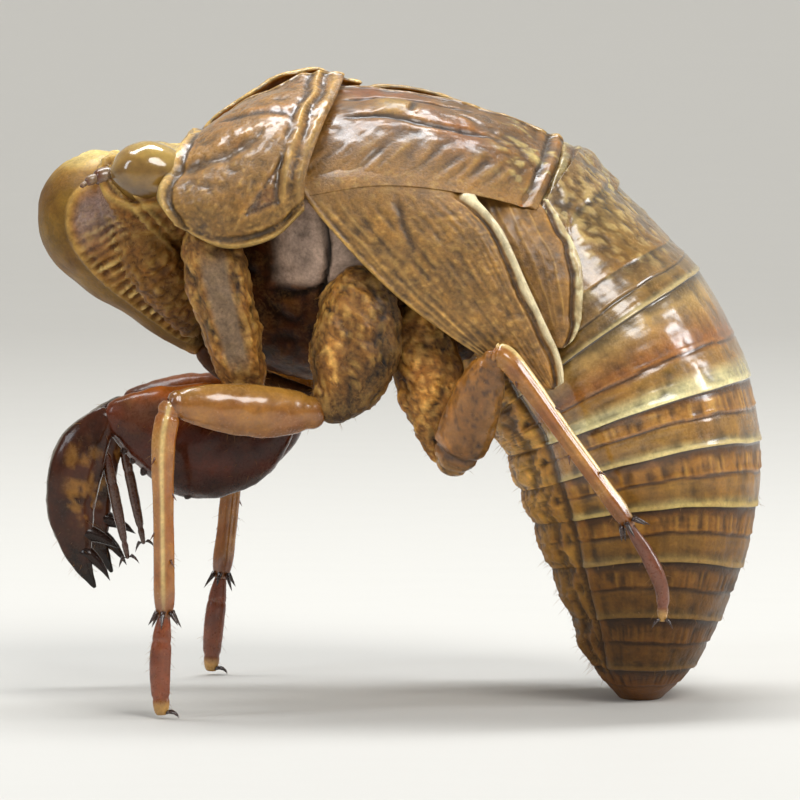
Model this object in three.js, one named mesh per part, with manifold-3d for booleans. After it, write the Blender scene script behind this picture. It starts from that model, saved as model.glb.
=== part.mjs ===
// Cicada shell: the empty skin that a cicada nymph leaves behind when it moults.
// Millimetres, +Z up, head towards -X, the animal's left side towards -Y.
// The skin stands on its two middle feet and on the tip of its abdomen.
// The origin is on the ground, under the middle of the skin's bounding box.
import * as THREE from "three";
import { mergeVertices } from "three/addons/utils/BufferGeometryUtils.js";
import Module from "manifold-3d";

const wasm = await Module();
wasm.setup();

// ---------------------------------------------------------------- dimensions
const SHIFT_X = -0.056; // moves the whole skin along X so that the origin is under its middle
const SHIFT_Y = 0.0;
const PLATE = 0.3; // thickness of the back shields and wing pads
const WALL = 0.35; // thickness of the head's and abdomen's walls

// Abdomen: rings from the waist to the tail.
// Each row: top of the ring x, z; bottom of the ring x, z; half width.
const ABDOMEN = [
  [8.7, 21.7, 2.2, 14.05, 6.0],
  [11.2, 19.15, 2.9, 12.75, 6.6],
  [12.4, 17.85, 3.55, 11.65, 6.9],
  [13.85, 15.25, 4.1, 10.9, 7.1],
  [14.5, 13.4, 4.5, 10.2, 7.15],
  [14.95, 10.8, 5.0, 8.75, 6.95],
  [14.85, 8.1, 5.6, 7.35, 6.5],
  [14.2, 5.5, 6.3, 5.5, 5.7],
  [13.3, 3.3, 7.15, 3.4, 4.75],
  [12.25, 1.4, 7.95, 1.45, 3.6],
  [10.9, 0.0, 9.2, -0.05, 1.6],
];

// Back shields and wing pads of the left side, as grids of points x, y, z.
// Pronotum: rows run from its front edge to its rear edge, columns from the split down to the lower rim.
const PRONOTUM = [
  [[-8.6, -0.7, 23.36], [-8.9, -2.6, 23.26], [-9.5, -4.6, 22.46], [-10, -6, 21.17], [-9.2, -6.3, 19.95]],
  [[-6.6, -0.9, 24.79], [-6.7, -3, 24.37], [-7, -5.4, 23.21], [-7.3, -7, 21.11], [-7.2, -6.9, 19.07]],
  [[-4.4, -1.1, 25.83], [-4.5, -3.2, 25.22], [-4.9, -5.6, 23.96], [-5.2, -7.2, 21.76], [-5.2, -7, 19.45]],
  [[-2.3, -1.2, 26.11], [-2.6, -3.2, 25.31], [-3.2, -5.4, 23.99], [-3.8, -6.9, 22.2], [-3.9, -7, 20.62]],
];
// The right half of the pronotum stands up along the split, most at its rear corner: lift of its inner edge, row by row.
const RIGHT_LIFT = [[0, 0, 0], [0, 0, 0.25], [0.2, 0, 0.4], [1.0, -0.2, 0.35]];
// Mesonotum: rows run from front to rear, columns from the split out to the wing hinge.
const MESONOTUM = [
  [[-1.8, -1.1, 25.54], [-2.1, -3, 24.86], [-2.5, -5, 23.67], [-2.8, -6.3, 22.1]],
  [[1, -1.2, 25.23], [0.9, -3.1, 24.74], [0.5, -5.2, 23.63], [0.1, -6.5, 22.36]],
  [[4, -0.9, 24.4], [4, -2.8, 23.91], [3.6, -4.9, 23], [3, -6.2, 22.01]],
  [[6.7, -0.3, 23.22], [6.5, -2.2, 22.64], [6.1, -4.2, 21.74], [5.6, -5.4, 20.77]],
];
// Forewing pad: rows run from its base to its tip, columns from the front edge to the rear edge.
const FOREWING = [
  [[-3.2, -6.75, 20.76], [-1.5, -6.95, 21.6], [1, -7, 21.89], [3.2, -6.75, 21.54]],
  [[-0.9, -7.4, 17.82], [0.9, -7.7, 19.04], [2.8, -7.75, 19.82], [4.2, -7.45, 19.87]],
  [[2, -7.7, 15.53], [3.2, -8.1, 16.35], [4.5, -8.1, 17.03], [5.4, -7.85, 17.26]],
  [[5, -7.5, 13.61], [5.8, -7.85, 13.36], [6.5, -7.9, 13.45], [7, -7.7, 13.87]],
];
const HINDWING = [
  [[2.6, -6.15, 21.04], [4.6, -6.1, 21.15], [6.3, -5.6, 20.93]],
  [[4, -6.85, 18.1], [5.8, -6.95, 18.48], [7.4, -6.6, 18.53]],
  [[5.7, -7.15, 15.22], [6.6, -7.25, 15.01], [7.4, -7.1, 15.52]],
];
// Metanotum: rows run from front to rear, columns from the midline out to the left.
const METANOTUM = [
  [[7.15, 0, 22.98], [7, -2.2, 22.34], [6.6, -4.1, 21.4], [6.35, -5, 20.6]],
  [[8.3, 0, 22.3], [8.05, -2.2, 21.65], [7.3, -4, 20.85], [6.85, -4.85, 20.1]],
];
// Breast and flank trough: rows run from front to rear, columns from the left top edge to the midline below.
const TROUGH = [
  [[-7, -3.1, 20.84], [-6.9, -3, 18.31], [-6.8, -2.2, 15.9], [-6.7, 0, 15.65]],
  [[-4.0, -5.3, 20.7], [-3.6, -4.9, 18.0], [-3.4, -3.0, 15.1], [-3.3, 0, 14.5]],
  [[-0.4, -5.6, 21.1], [-0.4, -5.2, 17.77], [-0.5, -3, 14.6], [-0.5, 0, 14.1]],
  [[5.6, -5.1, 19.94], [4.4, -5.4, 16.96], [2.2, -3, 14.7], [1.5, 0, 14.3]],
];

// Head: cranium, eye caps and face bulge.
const CRANIUM = { c: [-10.0, 0, 20.8], r: [2.9, 4.95, 2.35] };
const EYE_LEFT = [-10.85, -4.4, 22.35];
const EYE_RIGHT = [-10.85, 4.4, 22.0];
const EYE_RADIUS = 1.1;
const FACE = { p: [[-11.9, 0, 22.7], [-12.5, 0, 20.5], [-11.5, 0, 18.6], [-10.3, 0, 17.0], [-9.0, 0, 15.4], [-8.3, 0, 14.4]], r: [1.6, 2.85, 2.35, 1.55, 1.0, 0.5], ry: [1.9, 3.25, 2.9, 1.9, 1.0, 0.5] };

// Limb pieces of the left side: points along the middle, half width in the leg's plane, half thickness across it.
const LEGS = {
  foreleg: {
    coxa: { p: [[-7.8, -5.0, 19.2], [-7.25, -5.1, 17.2], [-6.75, -5.2, 15.4], [-6.3, -5.2, 13.75]], r: [1.3, 1.35, 1.1, 0.8], ry: [1.2, 1.3, 1.1, 0.8] },
    femur: { p: [[-4.7, -4.9, 11.6], [-6.2, -4.9, 11.1], [-8.2, -4.95, 11.15], [-10.3, -5.0, 11.75], [-11.75, -5.05, 12.25]], r: [0.75, 1.75, 2.35, 1.75, 0.65], ry: [0.7, 1.05, 1.2, 1.0, 0.6] },
    tibia: { p: [[-12.2, -5.05, 12.15], [-13.1, -5.05, 10.6], [-13.5, -5.0, 8.9], [-13.45, -4.95, 7.5], [-13.2, -4.9, 6.2], [-12.75, -4.85, 5.1]], r: [0.6, 1.1, 1.05, 0.85, 0.55, 0.12], ry: [0.5, 0.75, 0.7, 0.5, 0.35, 0.12] },
    tarsus: { p: [[-11.65, -4.95, 10.2], [-11.6, -4.9, 8.2], [-11.2, -4.8, 6.2]], r: [0.26, 0.3, 0.2], ry: [0.24, 0.26, 0.18] },
  },
  midleg: {
    coxa: { p: [[-1.4, -5.9, 16.3], [-2.1, -6.2, 14.6], [-3.0, -6.5, 12.85]], r: [1.3, 1.65, 1.0], ry: [1.1, 1.3, 0.9] },
    femur: { p: [[-3.4, -6.85, 12.3], [-5.3, -7.3, 12.45], [-7.3, -7.8, 12.65], [-9.15, -8.2, 12.9]], r: [0.8, 1.1, 1.0, 0.6], ry: [0.75, 0.95, 0.85, 0.5] },
    tibia: { p: [[-9.5, -8.35, 12.55], [-9.6, -8.5, 8.4], [-9.58, -8.6, 4.2]], r: [0.55, 0.46, 0.52], ry: [0.45, 0.4, 0.44] },
    tarsus: { p: [[-9.6, -8.6, 3.95], [-9.75, -8.65, 2.0], [-9.7, -8.75, -0.12]], r: [0.42, 0.46, 0.42], ry: [0.36, 0.4, 0.38] },
  },
  hindleg: {
    coxa: { p: [[0.9, -4.9, 15.6], [1.3, -5.1, 13.3], [1.8, -5.3, 10.9]], r: [1.1, 1.25, 0.8], ry: [1.0, 1.05, 0.75] },
    femur: { p: [[2.25, -5.75, 10.0], [2.7, -6.7, 11.5], [3.3, -7.9, 13.4], [3.85, -8.8, 14.7]], r: [0.8, 1.15, 1.0, 0.6], ry: [0.65, 0.85, 0.75, 0.5] },
    tibia: { p: [[4.3, -9.1, 14.75], [6.8, -8.75, 11.4], [9.36, -8.2, 7.9]], r: [0.55, 0.5, 0.5], ry: [0.45, 0.4, 0.42] },
    tarsus: { p: [[9.5, -8.15, 7.6], [10.35, -8.0, 6.1], [10.75, -7.85, 3.9]], r: [0.4, 0.38, 0.26], ry: [0.34, 0.34, 0.22] },
  },
};
// The right middle leg is swung a little further back than the left one, and the other right legs hang a little apart from a mirror image.
const RIGHT_MIDLEG = {
  coxa: LEGS.midleg.coxa,
  femur: { ...LEGS.midleg.femur, p: [[-3.4, -6.85, 12.3], [-4.5, -7.5, 12.5], [-5.8, -8.1, 12.75], [-7.0, -8.55, 12.95]] },
  tibia: { ...LEGS.midleg.tibia, p: [[-7.15, -8.7, 12.5], [-7.2, -8.75, 8.3], [-7.65, -8.7, 4.2]] },
  tarsus: { ...LEGS.midleg.tarsus, p: [[-7.7, -8.7, 3.95], [-7.95, -8.7, 2.0], [-8.1, -8.75, -0.12]] },
};
const RIGHT_NUDGE = { foreleg: [0.35, 0.1, -0.25], midleg: [0, 0, 0], hindleg: [0.0, 0.0, 0.0] };

const ROSTRUM = { p: [[-7.6, 0, 13.9], [-5.6, 0, 13.1], [-3.2, 0, 12.6]], r: [0.6, 0.55, 0.3], ry: [0.65, 0.6, 0.32] };
const ANTENNA = { p: [[-12.1, -3.75, 21.72], [-12.65, -4.0, 21.62], [-13.2, -4.25, 21.4]], r: [0.28, 0.24, 0.12], ry: [0.28, 0.24, 0.12] };

// ------------------------------------------------------------------- helpers
const V3 = (a) => new THREE.Vector3(a[0], a[1], a[2]);

// Smooth curve through rows of numbers, t from 0 to 1.
function spline(rows, t) {
  const n = rows.length - 1;
  const s = Math.min(Math.max(t, 0), 1) * n;
  const i = Math.min(Math.floor(s), n - 1);
  const f = s - i;
  const p1 = rows[i], p2 = rows[i + 1];
  const p0 = i > 0 ? rows[i - 1] : p1.map((v, k) => 2 * v - p2[k]);
  const p3 = i < n - 1 ? rows[i + 2] : p2.map((v, k) => 2 * v - p1[k]);
  return p1.map((_, k) => {
    const m1 = (p2[k] - p0[k]) / 2, m2 = (p3[k] - p1[k]) / 2;
    const d = p2[k] - p1[k];
    return p1[k] + f * (m1 + f * (3 * d - 2 * m1 - m2 + f * (m1 + m2 - 2 * d)));
  });
}

// Smooth surface through a grid of points.
function patch(grid, u, v) {
  return V3(spline(grid.map((row) => spline(row, v)), u));
}

function weld(geometry) {
  geometry.deleteAttribute("normal");
  geometry.deleteAttribute("uv");
  const g = mergeVertices(geometry, 1e-4);
  const p = g.attributes.position, index = g.index.array;
  let volume = 0;
  const a = new THREE.Vector3(), b = new THREE.Vector3(), c = new THREE.Vector3();
  for (let i = 0; i < index.length; i += 3) {
    a.fromBufferAttribute(p, index[i]);
    b.fromBufferAttribute(p, index[i + 1]);
    c.fromBufferAttribute(p, index[i + 2]);
    volume += a.dot(b.cross(c));
  }
  if (volume < 0) for (let i = 0; i < index.length; i += 3) [index[i], index[i + 1]] = [index[i + 1], index[i]];
  return g;
}

// A sphere's net drawn over another closed form: place(angle, t) gives each point, t from pole to pole.
function blob(around, along, place) {
  const g = new THREE.SphereGeometry(1, around, along);
  const p = g.attributes.position, uv = g.attributes.uv;
  for (let i = 0; i < p.count; i++) {
    const t = 1 - uv.getY(i);
    const q = place(uv.getX(i) * 2 * Math.PI, t);
    p.setXYZ(i, q.x, q.y, q.z);
  }
  return weld(g);
}

// A curved sheet of even thickness: at(u, v) gives its middle surface.
function sheet(nu, nv, at, thickness = PLATE) {
  const g = new THREE.BoxGeometry(1, 1, 1, nu, nv, 1);
  const p = g.attributes.position, e = 1e-3;
  for (let i = 0; i < p.count; i++) {
    const u = p.getX(i) + 0.5, v = p.getY(i) + 0.5, side = p.getZ(i) * 2;
    const u0 = Math.max(u - e, 0), u1 = Math.min(u + e, 1), v0 = Math.max(v - e, 0), v1 = Math.min(v + e, 1);
    const n = at(u1, v).sub(at(u0, v)).cross(at(u, v1).sub(at(u, v0))).normalize();
    const q = at(u, v).addScaledVector(n, (side * thickness) / 2);
    p.setXYZ(i, q.x, q.y, q.z);
  }
  return weld(g);
}

// A tapering limb along a smooth line, with a rounded end at each pole.
function limb({ p, r, ry }, around = 8, along = 8, floor = -Infinity) {
  const line = p, w = r.map((x, i) => [x, ry[i]]);
  return blob(around, along, (angle, t) => {
    const s = (1 - Math.cos(Math.PI * t)) / 2;
    const full = Math.pow(Math.max(Math.sin(Math.PI * t), 0), 0.38);
    const c = V3(spline(line, s));
    const d = V3(spline(line, Math.min(s + 1e-3, 1))).sub(V3(spline(line, Math.max(s - 1e-3, 0)))).normalize();
    const across = new THREE.Vector3(0, 1, 0).addScaledVector(d, -d.y).normalize();
    const inPlane = new THREE.Vector3().crossVectors(d, across);
    const [a, b] = spline(w, s);
    c.addScaledVector(inPlane, Math.cos(angle) * a * full).addScaledVector(across, Math.sin(angle) * b * full);
    if (c.z < floor) c.z = floor;
    return c;
  });
}

const mirrored = (a) => [a[0], -a[1], a[2]];
const mirrorGrid = (grid) => grid.map((row) => row.map(mirrored));
const mirrorLimb = (l, n = [0, 0, 0]) => ({ ...l, p: l.p.map((a) => [a[0] + n[0], -a[1] + n[1], a[2] + n[2]]) });

// A closed geometry as a solid for joining and cutting, and back.
function solid(g) {
  return new wasm.Manifold(new wasm.Mesh({ numProp: 3, vertProperties: new Float32Array(g.attributes.position.array), triVerts: new Uint32Array(g.index.array) }));
}
function geometry(s) {
  const m = s.getMesh(), v = new Float32Array(m.numVert * 3);
  for (let i = 0; i < m.numVert; i++) v.set(m.vertProperties.subarray(i * m.numProp, i * m.numProp + 3), i * 3);
  return new THREE.BufferGeometry().setAttribute("position", new THREE.BufferAttribute(v, 3)).setIndex(new THREE.BufferAttribute(new Uint32Array(m.triVerts), 1));
}
function ellipsoid(c, r, around, along) {
  return blob(around, along, (angle, t) => new THREE.Vector3(
    c[0] + r[0] * Math.cos(Math.PI * t),
    c[1] + r[1] * Math.sin(Math.PI * t) * Math.cos(angle),
    c[2] + r[2] * Math.sin(Math.PI * t) * Math.sin(angle)));
}

// ----------------------------------------------------------------- materials
const finish = (color, roughness) => new THREE.MeshStandardMaterial({ color, roughness, metalness: 0 });
const SHELL = finish(0x9a6a30, 0.4);
const HEAD = finish(0x96662f, 0.45);
const BELLY = finish(0x8d6a35, 0.35);
const PAD = finish(0xa0743a, 0.45);
const LEG = finish(0x9a5f2a, 0.35);
const CLAW = finish(0x4a2414, 0.25);

// --------------------------------------------------------------------- build
const skin = new THREE.Group();
skin.position.set(SHIFT_X, SHIFT_Y, 0);
function add(name, geo, material) {
  const mesh = new THREE.Mesh(geo, material);
  mesh.name = name;
  skin.add(mesh);
}

// Abdomen: a hollow barrel, closed at the tail and open at the waist.
const abdomenPoint = (a, angle, wall) => {
  const [tx, tz, bx, bz, w] = spline(ABDOMEN, a);
  const c = new THREE.Vector3((tx + bx) / 2, 0, (tz + bz) / 2), up = new THREE.Vector3((tx - bx) / 2, 0, (tz - bz) / 2);
  const half = up.length();
  const bulge = (x) => Math.sign(x) * Math.pow(Math.abs(x), 0.9);
  return c
    .addScaledVector(up, bulge(Math.cos(angle)) * Math.max(1 - wall / half, 0.05))
    .add(new THREE.Vector3(0, bulge(Math.sin(angle)) * Math.max(w - wall, 0.05), 0));
};
const tail = new THREE.Vector3(10.05, 0, 0);
const ROWS = 14;
const abdomen = blob(26, 2 * ROWS, (angle, t) => {
  const k = Math.round(t * 2 * ROWS);
  if (k === 0) return tail.clone();
  if (k === 2 * ROWS) return abdomenPoint(0.93, 0, 99);
  const a = k <= ROWS ? (ROWS - k) / (ROWS - 1) : ((k - ROWS) / ROWS) * 0.93;
  const q = abdomenPoint(a, angle, k <= ROWS ? 0 : WALL);
  if (k <= ROWS) q.z = Math.max(q.z, 0);
  return q;
});
add("abdomen", abdomen, BELLY);

// Head: cranium, face and eye caps joined, hollowed and opened towards the neck.
const shrink = (l, d) => ({ ...l, r: l.r.map((x) => Math.max(x - d, 0.25)), ry: l.ry.map((x) => Math.max(x - d, 0.25)) });
const headPart = (d, n) => [
  ellipsoid(CRANIUM.c, CRANIUM.r.map((x) => x - d), n, n - 4),
  limb(shrink(d ? { p: FACE.p.slice(0, 5), r: FACE.r.slice(0, 5), ry: FACE.ry.slice(0, 5) } : FACE, d), n, n - 6),
  ...[EYE_LEFT, EYE_RIGHT].map((c) => ellipsoid(c, [EYE_RADIUS - d, EYE_RADIUS - d, EYE_RADIUS - d], n - 8, n - 10)),
  ...(d ? [EYE_LEFT, EYE_RIGHT].map((c) => limb({ p: [[-9.6, c[1] * 0.35, 20.6], [-10.2, c[1] * 0.7, 21.5], c], r: [0.7, 0.8, 0.7], ry: [0.7, 0.8, 0.7] }, 8, 8)) : []),
].map(solid).reduce((a, b) => a.add(b));
const neck = solid(ellipsoid([-7.6, 0, 20.6], [2.4, 3.4, 1.7], 16, 10));
add("head", geometry(headPart(0, 18).subtract(headPart(WALL, 16)).subtract(neck)), HEAD);

add("rostrum", limb(ROSTRUM, 8, 8), LEG);
add("antenna_left", limb(ANTENNA, 6, 6), LEG);
add("antenna_right", limb(mirrorLimb(ANTENNA), 6, 6), LEG);

// Shields and pads, left and right of the split.
const both = (name, grid, nu, nv, material, other = mirrorGrid(grid)) => {
  add(name + "_left", sheet(nu, nv, (u, v) => patch(grid, u, v)), material);
  add(name + "_right", sheet(nu, nv, (u, v) => patch(other, u, v)), material);
};
const lifted = mirrorGrid(PRONOTUM).map((row, i) => row.map((a, j) => (j === 0 ? a.map((x, k) => x + RIGHT_LIFT[i][k]) : a)));
both("pronotum", PRONOTUM, 7, 8, SHELL, lifted);
both("mesonotum", MESONOTUM, 7, 6, SHELL);
both("forewing_pad", FOREWING, 8, 5, PAD);
both("hindwing_pad", HINDWING, 6, 4, PAD);

const across = (grid) => grid.map((row) => [...row, ...row.slice(0, -1).reverse().map(mirrored)]);
const metanotum = across(METANOTUM.map((row) => [...row].reverse()));
add("metanotum", sheet(2, 14, (u, v) => patch(metanotum, u, v)), SHELL);
const trough = across(TROUGH);
add("thorax_underside", sheet(8, 14, (u, v) => patch(trough, u, v)), SHELL);

// Legs.
for (const [leg, parts] of Object.entries(LEGS)) {
  for (const [piece, l] of Object.entries(parts)) {
    const material = leg === "foreleg" && (piece === "femur" || piece === "tibia") ? CLAW : LEG;
    const foot = leg === "midleg" && piece === "tarsus" ? 0 : -Infinity;
    const fine = leg === "foreleg" && piece === "femur" ? [10, 9] : [8, 8];
    add(`${leg}_left_${piece}`, limb(l, ...fine, foot), material);
    const source = leg === "midleg" ? RIGHT_MIDLEG[piece] : l;
    add(`${leg}_right_${piece}`, limb(mirrorLimb(source, piece === "coxa" ? [0, 0, 0] : RIGHT_NUDGE[leg]), ...fine, foot), material);
  }
}

const cicadaShell = new THREE.Group();
cicadaShell.add(skin);
export default cicadaShell;
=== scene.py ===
import math

import bpy
import numpy as np
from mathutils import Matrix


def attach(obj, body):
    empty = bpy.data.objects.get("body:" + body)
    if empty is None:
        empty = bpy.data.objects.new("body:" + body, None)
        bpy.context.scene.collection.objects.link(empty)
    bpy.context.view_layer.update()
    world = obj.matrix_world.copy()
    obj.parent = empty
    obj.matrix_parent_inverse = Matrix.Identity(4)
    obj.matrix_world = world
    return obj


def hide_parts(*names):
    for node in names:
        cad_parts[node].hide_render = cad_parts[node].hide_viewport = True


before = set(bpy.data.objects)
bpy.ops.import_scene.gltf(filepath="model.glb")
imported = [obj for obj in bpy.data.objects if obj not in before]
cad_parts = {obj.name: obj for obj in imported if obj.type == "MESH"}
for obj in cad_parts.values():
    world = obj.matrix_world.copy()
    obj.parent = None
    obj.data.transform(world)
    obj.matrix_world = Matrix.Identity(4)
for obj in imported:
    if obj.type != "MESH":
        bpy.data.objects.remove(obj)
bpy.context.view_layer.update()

# Everything below is in millimetres in the row's frame until a mesh is written: head towards -X,
# the animal's left side towards -Y, +Z up.
MM = 0.001
SHIFT = np.array([-0.056, 0.0, 0.0])


# ------------------------------------------------------------------ small tools
def lin(r, g, b):
    """Linear colour of an 8-bit screen colour."""
    c = np.array([r, g, b], float) / 255.0
    return np.where(c <= 0.04045, c / 12.92, ((c + 0.055) / 1.055) ** 2.4)


def smooth(a, b, x):
    t = np.clip((x - a) / (b - a), 0.0, 1.0)
    return t * t * (3 - 2 * t)


def bell(x, c, w):
    return np.exp(-(((x - c) / w) ** 2))


def mixc(a, b, f):
    f = np.asarray(f)[..., None]
    return a * (1 - f) + b * f


def _hash(ix, iy, iz, seed):
    h = (ix.astype(np.uint32) * np.uint32(374761393)) ^ (iy.astype(np.uint32) * np.uint32(668265263)) ^ (iz.astype(np.uint32) * np.uint32(2246822519)) ^ np.uint32((seed * 3266489917) & 0xFFFFFFFF)
    h = (h ^ (h >> np.uint32(15))) * np.uint32(2246822519)
    h = (h ^ (h >> np.uint32(13))) * np.uint32(3266489917)
    h = h ^ (h >> np.uint32(16))
    return h.astype(np.float64) / 2147483648.0 - 1.0


_TURN = np.array([[0.36, 0.48, -0.80], [-0.80, 0.60, 0.0], [0.48, 0.64, 0.60]])
_LEAN = np.array([[1, 1, 0], [-1, 1, 0], [1, -1, 0], [-1, -1, 0], [1, 0, 1], [-1, 0, 1], [1, 0, -1], [-1, 0, -1], [0, 1, 1], [0, -1, 1], [0, 1, -1], [0, -1, -1], [1, 1, 0], [-1, 1, 0], [0, -1, 1], [0, -1, -1]], float)


def noise(p, freq=1.0, seed=0):
    """Smooth gradient noise from about -1 to 1 at points p, on a turned lattice so that no grid shows."""
    q = np.asarray(p, float) @ _TURN * freq + 0.371 * (seed % 89)
    i = np.floor(q)
    f = q - i
    w = f * f * f * (f * (f * 6 - 15) + 10)
    i = i.astype(np.int64)
    out = 0.0
    for dx in (0, 1):
        wx = w[..., 0] if dx else 1 - w[..., 0]
        for dy in (0, 1):
            wy = w[..., 1] if dy else 1 - w[..., 1]
            for dz in (0, 1):
                wz = w[..., 2] if dz else 1 - w[..., 2]
                h = _hash(i[..., 0] + dx, i[..., 1] + dy, i[..., 2] + dz, seed)
                g = _LEAN[np.minimum(((h + 1) * 8).astype(int), 15)]
                out = out + wx * wy * wz * (g[..., 0] * (f[..., 0] - dx) + g[..., 1] * (f[..., 1] - dy) + g[..., 2] * (f[..., 2] - dz))
    return np.clip(1.45 * out, -1, 1)


def fbm(p, freq=1.0, seed=0, octaves=4, gain=0.5):
    s, a, t = 0.0, 1.0, 0.0
    for o in range(octaves):
        s = s + a * noise(p, freq * 2.03**o, seed + 17 * o)
        t += a
        a *= gain
    return s / t


def weights(n, t):
    """Weights of n rows of points for a smooth curve through them, at each t from 0 to 1 (a little beyond is fine)."""
    t = np.asarray(t, float)
    s = t * (n - 1)
    i = np.clip(np.floor(s), 0, n - 2).astype(int)
    f = s - i
    w = np.zeros((len(t), n))
    w0 = -0.5 * f + f**2 - 0.5 * f**3
    w1 = 1 - 2.5 * f**2 + 1.5 * f**3
    w2 = 0.5 * f + 2 * f**2 - 1.5 * f**3
    w3 = -0.5 * f**2 + 0.5 * f**3
    r = np.arange(len(t))
    first, last = i == 0, i == n - 2
    w1 = w1 + np.where(first, 2 * w0, 0) - np.where(last, w3, 0)
    w2 = w2 - np.where(first, w0, 0) + np.where(last, 2 * w3, 0)
    np.add.at(w, (r, i), w1)
    np.add.at(w, (r, i + 1), w2)
    np.add.at(w, (r, np.maximum(i - 1, 0)), np.where(first, 0, w0))
    np.add.at(w, (r, np.minimum(i + 2, n - 1)), np.where(last, 0, w3))
    return w


def curve(rows, t):
    return weights(len(rows), t) @ np.asarray(rows, float)


def patch(grid, u, v):
    g = np.asarray(grid, float)
    return np.einsum("ur,vc,rcd->uvd", weights(g.shape[0], u), weights(g.shape[1], v), g)


def grid_normals(P, wrap=False):
    du = np.gradient(P, axis=0)
    if wrap:
        Q = np.concatenate([P[:, -2:-1], P, P[:, 1:2]], axis=1)
        dv = np.gradient(Q, axis=1)[:, 1:-1]
    else:
        dv = np.gradient(P, axis=1)
    n = np.cross(du, dv)
    return n / (np.linalg.norm(n, axis=-1, keepdims=True) + 1e-12)


def crowd(n, power=1.0):
    """Steps from 0 to 1 that crowd towards both ends."""
    t = np.linspace(0, 1, n)
    c = 0.5 - 0.5 * np.cos(np.pi * t)
    return t * (1 - power) + c * power


def write_mesh(name, co, faces, col=None, rough=None, dust=None, material=None):
    """A mesh piece from points in millimetres and a list of face arrays."""
    me = bpy.data.meshes.new(name)
    co = (np.asarray(co, float) + SHIFT) * MM
    me.vertices.add(len(co))
    me.vertices.foreach_set("co", co.astype(np.float32).ravel())
    loops = np.concatenate([f.ravel() for f in faces]).astype(np.int32)
    sizes = np.concatenate([np.full(len(f), f.shape[1]) for f in faces])
    starts = np.concatenate([[0], np.cumsum(sizes)[:-1]]).astype(np.int32)
    me.loops.add(len(loops))
    me.loops.foreach_set("vertex_index", loops)
    me.polygons.add(len(sizes))
    me.polygons.foreach_set("loop_start", starts)
    me.polygons.foreach_set("use_smooth", np.ones(len(sizes), bool))
    me.update(calc_edges=True)
    me.validate()
    paint(me, col, rough, dust)
    ob = bpy.data.objects.new(name, me)
    bpy.context.scene.collection.objects.link(ob)
    if material:
        me.materials.append(material)
    return ob


def paint(me, col, rough, dust):
    n = len(me.vertices)
    if col is not None:
        rgba = np.ones((n, 4), np.float32)
        rgba[:, :3] = np.clip(np.reshape(col, (-1, 3)) * [0.98, 0.95, 0.70], 0, 1)
        me.color_attributes.new("tint", "FLOAT_COLOR", "POINT").data.foreach_set("color", rgba.ravel())
    for key, val in (("gloss", rough), ("dust", dust)):
        if val is not None:
            me.attributes.new(key, "FLOAT", "POINT").data.foreach_set("value", np.broadcast_to(np.asarray(val, np.float32).ravel(), (n,)).astype(np.float32).copy())


def own(ob, node):
    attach(ob, "root")
    if node:
        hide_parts(node)
    return ob


def quads(nu, nv, wrap=False):
    idx = np.arange(nu * nv).reshape(nu, nv)
    if wrap:
        idx = np.concatenate([idx, idx[:, :1]], axis=1)
    return np.stack([idx[:-1, :-1], idx[1:, :-1], idx[1:, 1:], idx[:-1, 1:]], -1).reshape(-1, 4)


def facing_out(co, faces):
    """Turns the faces of a closed piece so that they look outwards."""
    v = 0.0
    for f in faces:
        a, b, c = co[f[:, 0]], co[f[:, 1]], co[f[:, 2]]
        v += np.einsum("ij,ij->i", a - co.mean(0), np.cross(b - co.mean(0), c - co.mean(0))).sum()
        if f.shape[1] == 4:
            a, b, c = co[f[:, 0]], co[f[:, 2]], co[f[:, 3]]
            v += np.einsum("ij,ij->i", a - co.mean(0), np.cross(b - co.mean(0), c - co.mean(0))).sum()
    return faces if v > 0 else [f[:, ::-1] for f in faces]


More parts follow.
